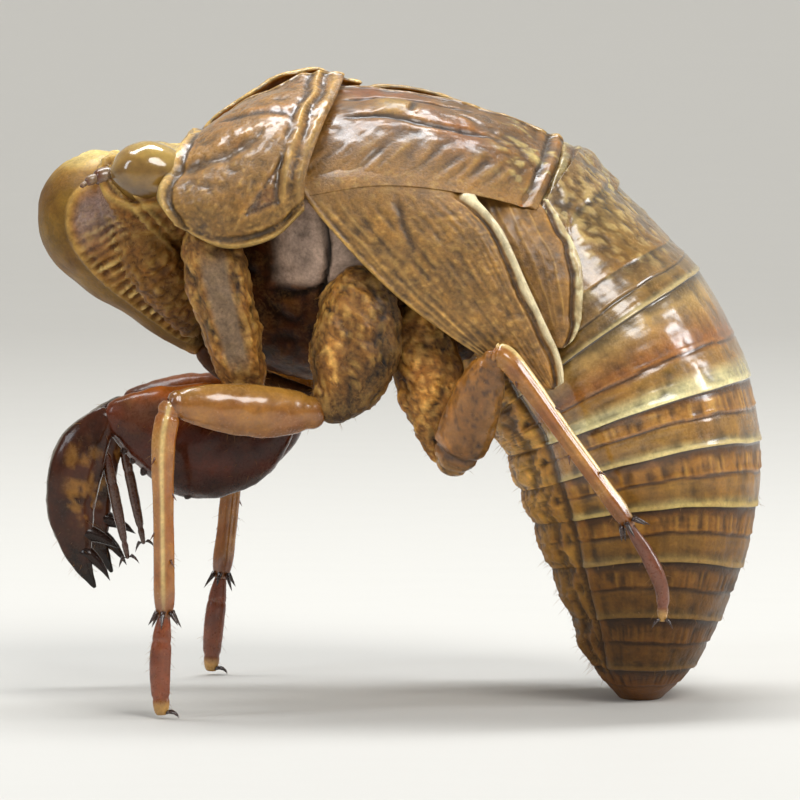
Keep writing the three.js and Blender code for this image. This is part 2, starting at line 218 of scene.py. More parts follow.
def plate(name, P, rise, thick, col_out, col_in, rough_out, dust_out, material, inner_rough=0.45):
    """A thin curved plate with rounded edges: P is its outer skin, rise the raised detail on it, thick the skin's
    thickness.
    """
    nu, nv = P.shape[:2]
    N = grid_normals(P)
    flip = 1.0
    mid = P.reshape(-1, 3).mean(0)
    centre = np.array([mid[0], 0.0, 17.5])
    if np.einsum("ijk,ijk->ij", N, P - centre).mean() < 0:
        N, flip = -N, -1.0
    du = np.concatenate([np.zeros((1, nv)), np.cumsum(np.linalg.norm(np.diff(P, axis=0), axis=-1), axis=0)])
    dv = np.concatenate([np.zeros((nu, 1)), np.cumsum(np.linalg.norm(np.diff(P, axis=1), axis=-1), axis=1)], axis=1)
    d = np.minimum(np.minimum(du, du[-1:] - du), np.minimum(dv, dv[:, -1:] - dv))
    th = np.broadcast_to(thick, (nu, nv))
    x = np.clip(d / (0.75 * th + 1e-9), 0, 1)
    half = th * np.sqrt(np.clip(1 - (1 - x) ** 2, 0, 1)) / 2
    core = P - N * th[..., None] / 2
    outer = core + N * (half + rise * np.clip(x, 0, 1))[..., None]
    inner = core - N * (half - 0.5 * rise * np.clip(x, 0, 1))[..., None]
    co = np.concatenate([outer.reshape(-1, 3), inner.reshape(-1, 3)])
    top = quads(nu, nv)
    low = np.arange(nu * nv).reshape(nu, nv) + nu * nv
    edge = np.zeros((nu, nv), bool)
    edge[0] = edge[-1] = True
    edge[:, 0] = edge[:, -1] = True
    low = np.where(edge, np.arange(nu * nv).reshape(nu, nv), low)
    bottom = np.stack([low[:-1, :-1], low[:-1, 1:], low[1:, 1:], low[1:, :-1]], -1).reshape(-1, 4)
    if flip < 0:
        top, bottom = top[:, ::-1], bottom[:, ::-1]
    used = np.unique(np.concatenate([top.ravel(), bottom.ravel()]))
    remap = -np.ones(len(co), int)
    remap[used] = np.arange(len(used))
    col = np.concatenate([col_out.reshape(-1, 3), np.broadcast_to(col_in, (nu * nv, 3))])[used]
    rough = np.concatenate([rough_out.ravel(), np.full(nu * nv, inner_rough)])[used]
    dust = np.concatenate([dust_out.ravel(), np.zeros(nu * nv)])[used]
    return write_mesh(name, co[used], [remap[top], remap[bottom]], col, rough, dust, material)


def limb(p, r, ry, around=40, along=64, blunt=0.38, rise=None, floor=None, square=1.0):
    """A tapering limb with a rounded end at each pole. Returns points, faces, and each point's place along and around."""
    t = np.linspace(0, 1, along)
    s = (1 - np.cos(np.pi * t)) / 2
    full = np.sin(np.pi * np.clip(t, 1e-6, 1 - 1e-6)) ** blunt
    L = curve(p, s)
    e = 1e-3
    d = curve(p, np.minimum(s + e, 1)) - curve(p, np.maximum(s - e, 0))
    d /= np.linalg.norm(d, axis=1, keepdims=True)
    across = np.array([0, 1.0, 0]) - d * d[:, 1:2]
    across /= np.linalg.norm(across, axis=1, keepdims=True)
    flat = np.cross(d, across)
    rr = curve(np.stack([r, ry], 1), s)
    ang = np.linspace(0, 2 * np.pi, around, endpoint=False)
    S, A = np.meshgrid(s, ang, indexing="ij")
    radial = np.cos(A)[..., None] * flat[:, None] + np.sin(A)[..., None] * across[:, None]
    pw = lambda x: np.sign(x) * np.abs(x) ** square
    size = full[:, None, None] * (pw(np.cos(A))[..., None] * flat[:, None] * rr[:, None, :1] + pw(np.sin(A))[..., None] * across[:, None] * rr[:, None, 1:])
    P = L[:, None] + size
    if rise is not None:
        P = P + radial * (rise(P, S, A) * np.clip(full[:, None], 0, 1))[..., None]
    if floor is not None:
        P[..., 2] = np.maximum(P[..., 2], floor)
    body = P[1:-1]
    n = body.shape[0]
    co = np.concatenate([body.reshape(-1, 3), P[0].mean(0)[None], P[-1].mean(0)[None]])
    q = quads(n, around, wrap=True)
    first = np.arange(around)
    last = first + (n - 1) * around
    faces = facing_out(co, [q])
    Sv = np.concatenate([S[1:-1].ravel(), [0, 1]])
    Av = np.concatenate([A[1:-1].ravel(), [0, 0]])
    # both end caps are wound like the side next to them
    side = q if faces[0] is q else q[:, ::-1]
    if faces[0] is q:
        caps = [np.stack([np.full(around, n * around), first, np.roll(first, -1)], 1)[:, ::-1], np.stack([np.full(around, n * around + 1), last, np.roll(last, -1)], 1)]
    else:
        caps = [np.stack([np.full(around, n * around), first, np.roll(first, -1)], 1), np.stack([np.full(around, n * around + 1), last, np.roll(last, -1)], 1)[:, ::-1]]
    return co, [side] + caps, Sv, Av


def cone(base, tip, r, bend=None, sides=6, steps=5):
    """A fine thorn from base to tip."""
    base, tip = np.asarray(base, float), np.asarray(tip, float)
    t = np.linspace(0, 1, steps)[:-1]
    axis = tip - base
    ref = np.array([0.3, 0.9, 0.2])
    a = np.cross(axis, ref)
    a /= np.linalg.norm(a)
    b = np.cross(axis, a)
    b /= np.linalg.norm(b)
    bow = np.zeros(3) if bend is None else np.asarray(bend, float)
    ang = np.linspace(0, 2 * np.pi, sides, endpoint=False)
    ring = np.cos(ang)[:, None] * a + np.sin(ang)[:, None] * b
    L = base + t[:, None] * axis + (4 * t * (1 - t))[:, None] * bow
    P = L[:, None] + ring[None] * (r * (1 - t) ** 0.8)[:, None, None]
    co = np.concatenate([P.reshape(-1, 3), tip[None]])
    q = quads(len(t), sides, wrap=True)
    last = np.arange(sides) + (len(t) - 1) * sides
    fan = np.stack([np.full(sides, len(co) - 1), np.roll(last, -1), last], 1)
    return co, (q, fan)


def join(parts):
    """Joins (points, faces, colour, gloss, dust) pieces into one set of arrays."""
    co, faces, col, gl, du, n = [], {3: [], 4: []}, [], [], [], 0
    for c, fs, k, g, d in parts:
        co.append(c)
        for f in fs:
            faces[f.shape[1]].append(f + n)
        col.append(np.broadcast_to(k, (len(c), 3)))
        gl.append(np.broadcast_to(g, (len(c),)))
        du.append(np.broadcast_to(d, (len(c),)))
        n += len(c)
    return np.concatenate(co), [np.concatenate(f) for f in faces.values() if f], np.concatenate(col), np.concatenate(gl), np.concatenate(du)


def blur(a, k):
    """Mean over a square of 2k+1 grid points."""
    for axis in (0, 1):
        pad = [(0, 0), (0, 0)]
        pad[axis] = (k + 1, k)
        c = np.cumsum(np.pad(a, pad, mode="edge"), axis=axis)
        n = a.shape[axis]
        a = (np.take(c, np.arange(2 * k + 1, 2 * k + 1 + n), axis) - np.take(c, np.arange(n), axis)) / (2 * k + 1)
    return a


def paint_relief_shade(col, rise, k=5, depth=0.03, dark=0.5, light=0.3):
    """Painted shade in the hollows of the raised detail and painted light on its crests: darkens the hollows and
    lightens the crests.
    """
    h = (rise - blur(rise, k)) / depth
    return col * (1 + 1.3 * light * np.clip(h, 0, 1) - 1.3 * dark * np.clip(-h, 0, 1))[..., None]


def crease(p, freq, seed, octaves=3):
    """Noise with sharp creases, 0 in a crease and up to 1 between."""
    s, a, t = 0.0, 1.0, 0.0
    for o in range(octaves):
        s = s + a * np.abs(noise(p, freq * 2.1**o, seed + 13 * o))
        t += a
        a *= 0.5
    return s / t


def gap_from(P, axis, end):
    """Distance in millimetres of each grid point from one edge of its grid."""
    step = np.linalg.norm(np.diff(P, axis=axis), axis=-1)
    shape = list(step.shape)
    shape[axis] = 1
    run = np.concatenate([np.zeros(shape), np.cumsum(step, axis=axis)], axis=axis)
    if end:
        last = np.take(run, [-1], axis=axis)
        return last - run
    return run


# -------------------------------------------------------------------- materials
def chitin(name, mottle=0.25, mottle_scale=900, grain=0.35, grain_scale=8000, bump=0.25, coat=0.35, coat_rough=0.16, sss=0.03, spec=0.5, dust_tint=(138, 102, 54), coat_ior=1.5, calm=False):
    """Dry insect skin: tinted by the piece's own markings, mottled and dusted, with a fine grain."""
    m = bpy.data.materials.new(name)
    m.use_nodes = True
    nt = m.node_tree
    nt.nodes.clear()
    N = lambda kind, **kw: _node(nt, kind, **kw)
    out = N("ShaderNodeOutputMaterial")
    b = N("ShaderNodeBsdfPrincipled")
    nt.links.new(b.outputs[0], out.inputs[0])
    tint = N("ShaderNodeAttribute", attribute_name="tint")
    gloss = N("ShaderNodeAttribute", attribute_name="gloss")
    dust = N("ShaderNodeAttribute", attribute_name="dust")
    pos = N("ShaderNodeTexCoord")

    def noise_tex(scale, detail, rough, dist=0.0):
        n = N("ShaderNodeTexNoise")
        n.inputs["Scale"].default_value = scale
        n.inputs["Detail"].default_value = detail
        n.inputs["Roughness"].default_value = rough
        n.inputs["Distortion"].default_value = dist
        nt.links.new(pos.outputs["Object"], n.inputs["Vector"])
        return n

    def span(src, a, b_, lo, hi):
        r = N("ShaderNodeMapRange")
        r.inputs["From Min"].default_value = a
        r.inputs["From Max"].default_value = b_
        r.inputs["To Min"].default_value = lo
        r.inputs["To Max"].default_value = hi
        nt.links.new(src, r.inputs["Value"])
        return r.outputs["Result"]

    def math_(op, a, b_=None):
        n = N("ShaderNodeMath", operation=op)
        for k, v in enumerate((a, b_)):
            if v is None:
                continue
            if isinstance(v, (int, float)):
                n.inputs[k].default_value = v
            else:
                nt.links.new(v, n.inputs[k])
        return n.outputs[0]

    broad = noise_tex(mottle_scale, 5, 0.6, 0.5)
    fine = noise_tex(grain_scale, 5, 0.62)
    patchy = noise_tex(mottle_scale * 0.6, 6, 0.68, 0.8)
    # mottling of the skin's own colour
    tone = span(broad.outputs[0], 0.3, 0.7, 1 - mottle, 1 + mottle)
    tone2 = span(fine.outputs[0], 0.3, 0.7, 1 - grain * 0.6, 1 + grain * 0.6)
    if calm:
        # clean places have less grain than dusty ones
        still = span(dust.outputs["Fac"], 0.08, 0.4, 0.15, 1.0)
        tone2 = math_("ADD", math_("MULTIPLY", math_("SUBTRACT", tone2, 1.0), still), 1.0)
    mul = N("ShaderNodeVectorMath", operation="SCALE")
    nt.links.new(tint.outputs["Color"], mul.inputs[0])
    nt.links.new(math_("MULTIPLY", tone, tone2), mul.inputs["Scale"])
    # dust and dried mud, thickest where the piece says so
    d1 = math_("MULTIPLY", span(patchy.outputs[0], 0.44, 0.6, 0.0, 1.0), dust.outputs["Fac"])
    d2 = math_("MULTIPLY", d1, span(fine.outputs[0], 0.4, 0.58, 0.1, 0.85))
    mix = N("ShaderNodeMix", data_type="RGBA")
    nt.links.new(d2, mix.inputs["Factor"])
    nt.links.new(mul.outputs[0], mix.inputs["A"])
    mix.inputs["B"].default_value = (*lin(*dust_tint), 1)
    nt.links.new(mix.outputs["Result"], b.inputs["Base Color"])
    # gloss: the piece's own value, dulled by grain and dust
    rg = math_("ADD", gloss.outputs["Fac"], span(fine.outputs[0], 0.3, 0.7, -0.06, 0.09))
    rg = math_("ADD", rg, math_("MULTIPLY", d2, 0.3))
    nt.links.new(math_("MINIMUM", math_("MAXIMUM", rg, 0.08), 0.9), b.inputs["Roughness"])
    # fine relief
    bp = N("ShaderNodeBump")
    bp.inputs["Strength"].default_value = bump
    if calm:
        nt.links.new(math_("MULTIPLY", still, bump), bp.inputs["Strength"])
    bp.inputs["Distance"].default_value = 0.00006
    h = math_("ADD", fine.outputs[0], math_("MULTIPLY", d2, 0.6))
    nt.links.new(math_("ADD", h, math_("MULTIPLY", broad.outputs[0], 0.8)), bp.inputs["Height"])
    nt.links.new(bp.outputs[0], b.inputs["Normal"])
    b.inputs["Subsurface Weight"].default_value = sss
    b.inputs["Subsurface Radius"].default_value = (1.0, 0.5, 0.2)
    b.inputs["Subsurface Scale"].default_value = 0.0004
    nt.links.new(span(gloss.outputs["Fac"], 0.24, 0.46, coat, coat * 0.12), b.inputs["Coat Weight"])
    b.inputs["Coat IOR"].default_value = coat_ior
    b.inputs["Coat Roughness"].default_value = coat_rough
    b.inputs["IOR"].default_value = 1.52
    b.inputs["Specular IOR Level"].default_value = spec
    return m


def _node(nt, kind, **kw):
    n = nt.nodes.new(kind)
    for k, v in kw.items():
        setattr(n, k, v)
    return n


M_SHIELD = chitin("shield_skin", mottle=0.3, mottle_scale=1700, grain=0.5, bump=0.5, coat=0.6, coat_rough=0.17, coat_ior=1.7, spec=0.4)
M_HEAD = chitin("head_skin", mottle=0.25, mottle_scale=1700, bump=0.4, coat=0.12, coat_rough=0.18, spec=0.18)
M_EYE = chitin("eye_skin", mottle=0.15, mottle_scale=1500, grain=0.15, bump=0.06, coat=0.9, coat_rough=0.08, sss=0.1)
M_ABD = chitin("abdomen_skin", mottle=0.2, mottle_scale=1500, grain=0.3, bump=0.4, coat=0.9, coat_rough=0.19, coat_ior=1.7, spec=0.25)
M_PAD = chitin("pad_skin", mottle=0.3, mottle_scale=1700, grain=0.5, bump=0.5, coat=0.35, coat_rough=0.2, calm=True)
M_LEG = chitin("leg_skin", mottle=0.2, mottle_scale=1800, grain=0.25, bump=0.16, coat=0.7, coat_rough=0.09, sss=0.06)
M_COXA = chitin("coxa_skin", mottle=0.3, mottle_scale=1900, grain=0.55, bump=0.5, coat=0.15, coat_rough=0.25, spec=0.3)
M_CLAW = chitin("claw_skin", mottle=0.3, mottle_scale=1400, grain=0.25, bump=0.16, coat=0.3, coat_rough=0.09, sss=0.0, spec=0.18)
M_UNDER = chitin("underside_skin", mottle=0.3, mottle_scale=1700, grain=0.4, bump=0.4, coat=0.03, coat_rough=0.3, sss=0.0, spec=0.15)
M_HAIR = chitin("bristle", mottle=0.1, mottle_scale=900, grain=0.1, bump=0.05, coat=0.2, coat_rough=0.3, sss=0.0)

# ------------------------------------------------------------------- tables (mm)
# abdomen rings: top x, z, bottom x, z, half width
ABDOMEN = [
    [8.7, 21.7, 2.2, 14.05, 6.0],
    [11.2, 19.15, 2.9, 12.75, 6.6],
    [12.4, 17.85, 3.55, 11.65, 6.9],
    [13.85, 15.25, 4.1, 10.9, 7.1],
    [14.5, 13.4, 4.5, 10.2, 7.15],
    [14.95, 10.8, 5.0, 8.75, 6.95],
    [14.85, 8.1, 5.6, 7.35, 6.5],
    [14.2, 5.5, 6.3, 5.5, 5.7],
    [13.3, 3.3, 7.15, 3.4, 4.75],
    [12.25, 1.4, 7.95, 1.45, 3.6],
    [10.9, 0.0, 9.2, -0.05, 1.6],
]
PRONOTUM = [
    [[-8.6, -0.7, 23.36], [-8.9, -2.6, 23.26], [-9.5, -4.6, 22.46], [-10, -6, 21.17], [-9.2, -6.3, 19.95]],
    [[-6.6, -0.9, 24.79], [-6.7, -3, 24.37], [-7, -5.4, 23.21], [-7.3, -7, 21.11], [-7.2, -6.9, 19.07]],
    [[-4.4, -1.1, 25.83], [-4.5, -3.2, 25.22], [-4.9, -5.6, 23.96], [-5.2, -7.2, 21.76], [-5.2, -7, 19.45]],
    [[-2.3, -1.2, 26.11], [-2.6, -3.2, 25.31], [-3.2, -5.4, 23.99], [-3.8, -6.9, 22.2], [-3.9, -7, 20.62]],
]
RIGHT_LIFT = [[0, 0, 0], [0, 0, 0.25], [0.2, 0, 0.4], [1.0, -0.2, 0.35]]
MESONOTUM = [
    [[-3.4, -1.1, 25.45], [-3.7, -3, 24.7], [-4.1, -5, 23.4], [-4.2, -6.72, 21.15]],
    [[0.2, -1.2, 25.4], [0.0, -3.1, 24.85], [-0.4, -5.2, 23.65], [-0.7, -6.95, 21.65]],
    [[3.8, -0.9, 24.5], [3.7, -2.8, 23.98], [3.3, -4.9, 22.98], [2.8, -6.75, 21.3]],
    [[6.85, -0.3, 23.2], [6.65, -2.2, 22.64], [6.25, -4.2, 21.74], [5.6, -5.75, 20.6]],
]
FOREWING = [
    [[-4.4, -5.85, 22.2], [-2.0, -5.8, 22.7], [0.7, -5.8, 22.75], [2.8, -5.3, 22.3]],
    [[-3.7, -6.75, 20.95], [-1.6, -7.0, 21.45], [0.9, -7.05, 21.45], [3.2, -6.85, 21.05]],
    [[-0.9, -7.4, 17.82], [0.9, -7.7, 19.04], [2.8, -7.75, 19.82], [4.2, -7.45, 19.87]],
    [[2, -7.7, 15.53], [3.2, -8.1, 16.35], [4.5, -8.1, 17.03], [5.4, -7.85, 17.26]],
    [[5, -7.5, 13.61], [5.8, -7.85, 13.36], [6.5, -7.9, 13.45], [7, -7.7, 13.87]],
]
HINDWING = [
    [[2.6, -5.75, 21.65], [4.5, -5.5, 21.45], [6.1, -4.95, 21.0]],
    [[4, -6.85, 18.1], [5.8, -6.95, 18.48], [7.4, -6.6, 18.53]],
    [[5.7, -7.15, 15.22], [6.6, -7.25, 15.01], [7.4, -7.1, 15.52]],
]
METANOTUM = [
    [[6.5, 0, 23.1], [6.4, -2.2, 22.5], [6.0, -4.1, 21.5], [5.7, -5.3, 20.5], [5.4, -5.9, 19.4]],
    [[7.6, 0, 22.95], [7.4, -2.2, 22.3], [6.9, -4.1, 21.3], [6.6, -5.35, 20.2], [6.3, -6.0, 18.9]],
    [[9.2, 0, 21.5], [8.9, -2.2, 20.98], [8.25, -4.0, 20.2], [7.8, -5.15, 19.25], [7.4, -6.1, 17.95]],
]
TROUGH = [
    [[-9.2, -3.2, 20.9], [-9.2, -2.9, 18.5], [-8.9, -2.0, 16.3], [-8.3, 0, 15.3]],
    [[-7.6, -3.6, 21.2], [-7.3, -3.4, 18.31], [-7.0, -2.5, 15.1], [-6.9, 0, 14.3]],
    [[-4.1, -5.9, 21.2], [-3.7, -5.2, 18.0], [-3.6, -3.2, 14.2], [-3.5, 0, 13.3]],
    [[-0.4, -6.2, 22.05], [-0.4, -5.7, 17.77], [-0.5, -3.3, 14.2], [-0.5, 0, 13.6]],
    [[5.8, -5.1, 20.85], [4.9, -5.9, 16.9], [2.9, -3.6, 14.3], [2.4, 0, 13.9]],
]


def mirror(grid):
    g = np.array(grid, float)
    g[..., 1] *= -1
    return g


HAIRS = []  # (root, direction, length, radius) of each bristle


def add_hairs(P, N, keep, count, length, radius, lean, seed):
    """Bristles rooted at points of a surface where keep is high, leaning along lean."""
    rng = np.random.default_rng(seed)
    w = np.clip(keep.ravel(), 0, None)
    pick = rng.choice(len(w), size=count, replace=False, p=w / w.sum())
    p, n = P.reshape(-1, 3)[pick], N.reshape(-1, 3)[pick]
    d = n + np.asarray(lean) + 0.35 * rng.normal(size=p.shape)
    d /= np.linalg.norm(d, axis=1, keepdims=True)
    ln = length * (0.55 + 0.9 * rng.random(count))
    HAIRS.append((p - n * 0.05, d, ln, np.full(count, radius), n))


# ---------------------------------------------------------------------- abdomen
SEG = np.array([-0.07, 0.1, 0.2, 0.4, 0.5, 0.6, 0.7, 0.8, 0.9, 1.0])
FOLD = math.radians(130)


def abdomen_skin(A, F):
    W = weights(len(ABDOMEN), A.ravel()) @ np.array(ABDOMEN)
    tx, tz, bx, bz, w = [W[:, k].reshape(A.shape) for k in range(5)]
    pw = lambda x: np.sign(x) * np.abs(x) ** 0.9
    c, s = pw(np.cos(F)), pw(np.sin(F))
    P = np.stack([(tx + bx) / 2 + (tx - bx) / 2 * c, w * s, (tz + bz) / 2 + (tz - bz) / 2 * c], -1)
    return P, np.stack([(tx + bx) / 2, np.zeros_like(tx), (tz + bz) / 2], -1)


def build_abdomen():
    rows = []
    for a0, a1 in zip(SEG[:-1], SEG[1:]):
        n = int(round((26 if a1 - a0 < 0.15 else 22) * (a1 - a0) / 0.1))
        s = np.linspace(0, 1, n, endpoint=False) ** 0.92
        rows.append(a0 + (a1 - a0) * np.unique(np.concatenate([s, [0.95, 0.972, 0.988]])))
    at = np.concatenate(rows + [[1.0]])
    nphi = 244
    phi = np.linspace(-np.pi, np.pi, nphi, endpoint=False)
    A, F = np.meshgrid(at, phi, indexing="ij")
    bend = 0.03 * (1 - smooth(0.7, 0.97, A)) * np.sin(F) ** 2
    # each ring's edge wavers a little
    waver = 0.004 * fbm(np.stack([np.cos(F) * 3, np.sin(F) * 3, A * 30], -1), 0.5, 5, 3) * (1 - smooth(0.8, 0.95, A))
    P, cen = abdomen_skin(A - bend + waver, F)
    Q = np.concatenate([P, P[:, :1]], 1)
    N = grid_normals(Q, wrap=True)[:, :-1]
    if np.einsum("ijk,ijk->ij", N, P - cen).mean() < 0:
        N = -N
    k = np.clip(np.searchsorted(SEG, A, side="right") - 1, 0, len(SEG) - 2)
    s = (A - SEG[k]) / (SEG[k + 1] - SEG[k])
    length = np.where(k == 2, 2.0, 1.0)
    back = np.abs(F) < FOLD
    fold = np.abs(F) - FOLD
    arc = F * 6.8
    wob = 0.04 * fbm(np.stack([arc, k * 9.1, k * 3.3], -1), 0.35, 6, 3)
    sw = np.clip(s + wob * (s > 0.1) * (s < 0.9), 0, 1)
    strength = np.where(back, 1.0, 0.7) * np.where(k == 0, 0.4, 1.0)
    rise = strength * (0.02 + 0.06 * s**1.5 + 0.035 * smooth(0.88, 0.965, s))
    # cross line in the middle of each back plate, fine pleats in front of it, wrinkles everywhere
    line = np.where(k == 2, 0.52, 0.47)
    rise -= np.where(back, 0.05, 0.03) * bell(sw, line, 0.028 / length)
    rise += np.where(back, 0.03, 0.01) * bell(sw, line - 0.055 / length, 0.03 / length)
    run = A * 26
    pleat = noise(np.stack([arc / 0.24, run / 1.5, k * 5.0], -1), 1.0, 11)
    pleat2 = noise(np.stack([arc / 0.6, run / 2.4, k * 5.0 + 40], -1), 1.0, 12)
    zone = smooth(0.1, 0.2, s) * (1 - smooth(line - 0.05, line, s)) * np.where(k >= 3, 1.0, 0.3) * back
    rise += zone * (0.035 * pleat + 0.02 * pleat2)
    zone2 = smooth(line + 0.02, line + 0.1, s) * (1 - smooth(0.9, 0.97, s)) * back
    rise += zone2 * (0.010 * pleat + 0.014 * pleat2)
    cross = noise(np.stack([arc / 2.6, run / 0.24, k * 3.0 + 80], -1), 1.0, 13)
    rise += np.where(back, 0.010, 0.03) * cross * smooth(0.04, 0.1, s) * (1 - smooth(0.9, 0.97, s))
    # side fold between back and belly plates, with the breathing holes along it
    rise -= 0.14 * np.exp(-((fold / 0.04) ** 2)) * smooth(-0.05, 0.05, A) * (1 - smooth(0.82, 0.95, A))
    rise += 0.06 * np.exp(-(((fold + 0.11) / 0.06) ** 2)) * (1 - smooth(0.82, 0.95, A))
    hole = np.exp(-(((fold - 0.1) / 0.035) ** 2 + ((s - 0.42) / (0.13 / length)) ** 2)) * (k >= 1) * (k <= 7)
    rise -= 0.14 * hole
    rise += 0.06 * fbm(P, 0.45, 3, 3) + 0.014 * fbm(P, 3.0, 4, 3)
    # front end: crumpled folds below the wing pads
    front = (1 - smooth(0.02, 0.16, A)) * back
    fcr = crease(P * [1.0, 1.6, 1.0], 1.3, 14, 3)
    rise += front * (0.12 * (fcr - 0.35))
    # rolled ridge along each side of the belly
    roll = bell(np.abs(F), math.radians(156), 0.13) * (1 - smooth(0.85, 0.97, A))
    rise += 0.16 * roll * (0.75 + 0.25 * np.cos(2 * np.pi * (s - 0.6)))
    rise -= 0.08 * bell(np.abs(F), math.radians(143), 0.07) * (1 - smooth(0.85, 0.97, A))
    rough_belly = smooth(0.03, 0.15, fold)
    rise += rough_belly * (1 - smooth(0.85, 0.96, A)) * (0.22 * (crease(P, 1.3, 15, 3) - 0.3) + 0.20 * (np.sin(np.pi * s) ** 0.7 - 0.55))
    # tail lobes round the vent
    end = smooth(0.9, 1.0, A)
    rise = rise * (1 - end) + end * 0.03
    rise -= 0.35 * np.exp(-((np.abs(np.abs(F) - np.pi) / 0.16) ** 2)) * smooth(0.8, 0.9, A) * (1 - smooth(0.97, 1.0, A))
    P = P + N * rise[..., None]
    P[..., 2] = np.maximum(P[..., 2], 0.0)
    # colours
    brown, dark, olive, pale = lin(138, 90, 40), lin(70, 41, 17), lin(156, 122, 58), lin(222, 215, 180)
    amber = lin(154, 102, 44)
    mott = np.clip(0.5 + 0.7 * fbm(P, 0.5, 21, 4), 0, 1)
    col = mixc(np.broadcast_to(brown, P.shape), amber, mott * 0.7)
    after = smooth(line, line + 0.06, sw) * back
    tone = np.clip(0.55 + 0.6 * fbm(np.stack([arc, run * 0.4, 0 * A], -1), 0.45, 22, 3), 0, 1)
    col = mixc(col, olive, after * (0.25 + 0.45 * tone))
    lead = np.where(k == 2, smooth(0.66, 0.9, sw), smooth(0.78, 0.93, sw)) * back * np.where(k == 2, 1.0, np.where(k == 1, 0.5, 0.6)) * (0.55 + 0.45 * tone) * (k >= 1) * (1 - 0.5 * smooth(0.55, 0.75, A))
    col = mixc(col, pale, lead)
    col = mixc(col, lin(150, 88, 34), 0.6 * bell(sw, 0.45, 0.06) * (k == 2) * back)
    # the front of the third back plate is lighter: partly its own pale tone, partly a painted highlight
    col = mixc(col, lin(186, 158, 108), 0.65 * smooth(0.42, 0.1, sw) * (k == 2) * back)
    col = mixc(col, dark, 0.8 * bell(sw, line, 0.018 / length) * np.where(back, 1, 0.3) * (0.5 + 0.5 * tone))
    col = mixc(col, dark, 0.9 * bell(s, 0.0, 0.045 / length) * (k > 0))
    col = mixc(col, lin(136, 88, 38), 0.4 * bell(s, 0.14, 0.1) * (k >= 3) * back)
    col = mixc(col, lin(166, 120, 58), 0.5 * zone * (k >= 3))
    tick = zone * smooth(0.15, 0.3, s) * smooth(0.12, 0.55, -pleat)
    col = mixc(col, lin(92, 56, 24), tick * 0.55)
    col = mixc(col, lin(190, 150, 84), zone * smooth(0.15, 0.7, pleat) * 0.4)
    greyf = (k <= 1) * back * smooth(0.0, 0.5, 1 - s)
    col = mixc(col, lin(138, 114, 76), 0.6 * greyf) * (1 - 0.22 * (k <= 1) * back)[..., None]
    col = mixc(col, lin(206, 186, 140), np.clip(front * smooth(0.3, 0.7, fcr), 0, 0.3))
    under = smooth(-0.02, 0.06, fold)
    tanb = lin(192, 146, 78)
    bcol = mixc(np.broadcast_to(tanb, P.shape), lin(138, 94, 44), np.clip(0.5 + 0.9 * fbm(np.stack([arc * 0.4, run, 0 * A], -1), 1.1, 23, 3), 0, 1))
    bcol = 1.55 * mixc(bcol, lin(100, 64, 30), 0.5 * smooth(0.5, 0.1, s) * smooth(0.0, 0.06, s))
    bcol = mixc(bcol, lin(184, 146, 86), 0.6 * bell(s, 0.85, 0.09))
    bcol = mixc(bcol, lin(182, 142, 82), 0.6 * roll)
    col = mixc(col, bcol, under)
    col = mixc(col, lin(84, 50, 22), np.exp(-((fold / 0.03) ** 2)) * 0.45)
    col = mixc(col, lin(60, 34, 18), np.clip(hole * 1.2, 0, 0.8))
    # the lower abdomen is browned and darkened towards the tail: partly its own darker olive-brown, partly painted
    # shade
    col = mixc(col, lin(104, 72, 34), smooth(0.5, 0.85, A) * 0.55)
    col = col * (1 - smooth(0.42, 0.6, A)[..., None] * [0.2, 0.26, 0.45]) * (1 - smooth(0.5, 0.92, A)[..., None] * [0.5, 0.56, 0.64])
    col = mixc(col, lin(46, 27, 12), 0.8 * bell(A, 0.735, 0.02) * smooth(1.25, 0.3, np.abs(F)))
    col = mixc(col, lin(122, 72, 30), smooth(0.88, 0.97, A) * 0.6)
    # painted shade in the hollows of the rings' raised detail and painted light on its crests
    col = paint_relief_shade(col, rise, 5, 0.03, 0.5, 0.3)
    dust = np.clip(0.08 + 0.45 * under + 0.05 * smooth(0.5, 0.8, A) + 0.2 * fbm(P, 0.4, 31, 2), 0, 1)
    gloss = 0.25 + 0.22 * under + 0.22 * smooth(0.42, 0.64, A) + 0.08 * fbm(P, 0.7, 33, 3) + 0.05 * zone
    gloss = gloss - 0.05 * (k <= 2) * back
    nu, nv = A.shape
    add_hairs(P, N, roll * smooth(0.08, 0.16, A) * (A < 0.97), 170, 0.42, 0.009, [-0.3, 0, -0.5], 900)
    add_hairs(P, N, np.exp(-(((s - 0.9) / 0.06) ** 2)) * (A > 0.55) * (A < 0.97), 110, 0.3, 0.009, [0, 0, -0.9], 901)
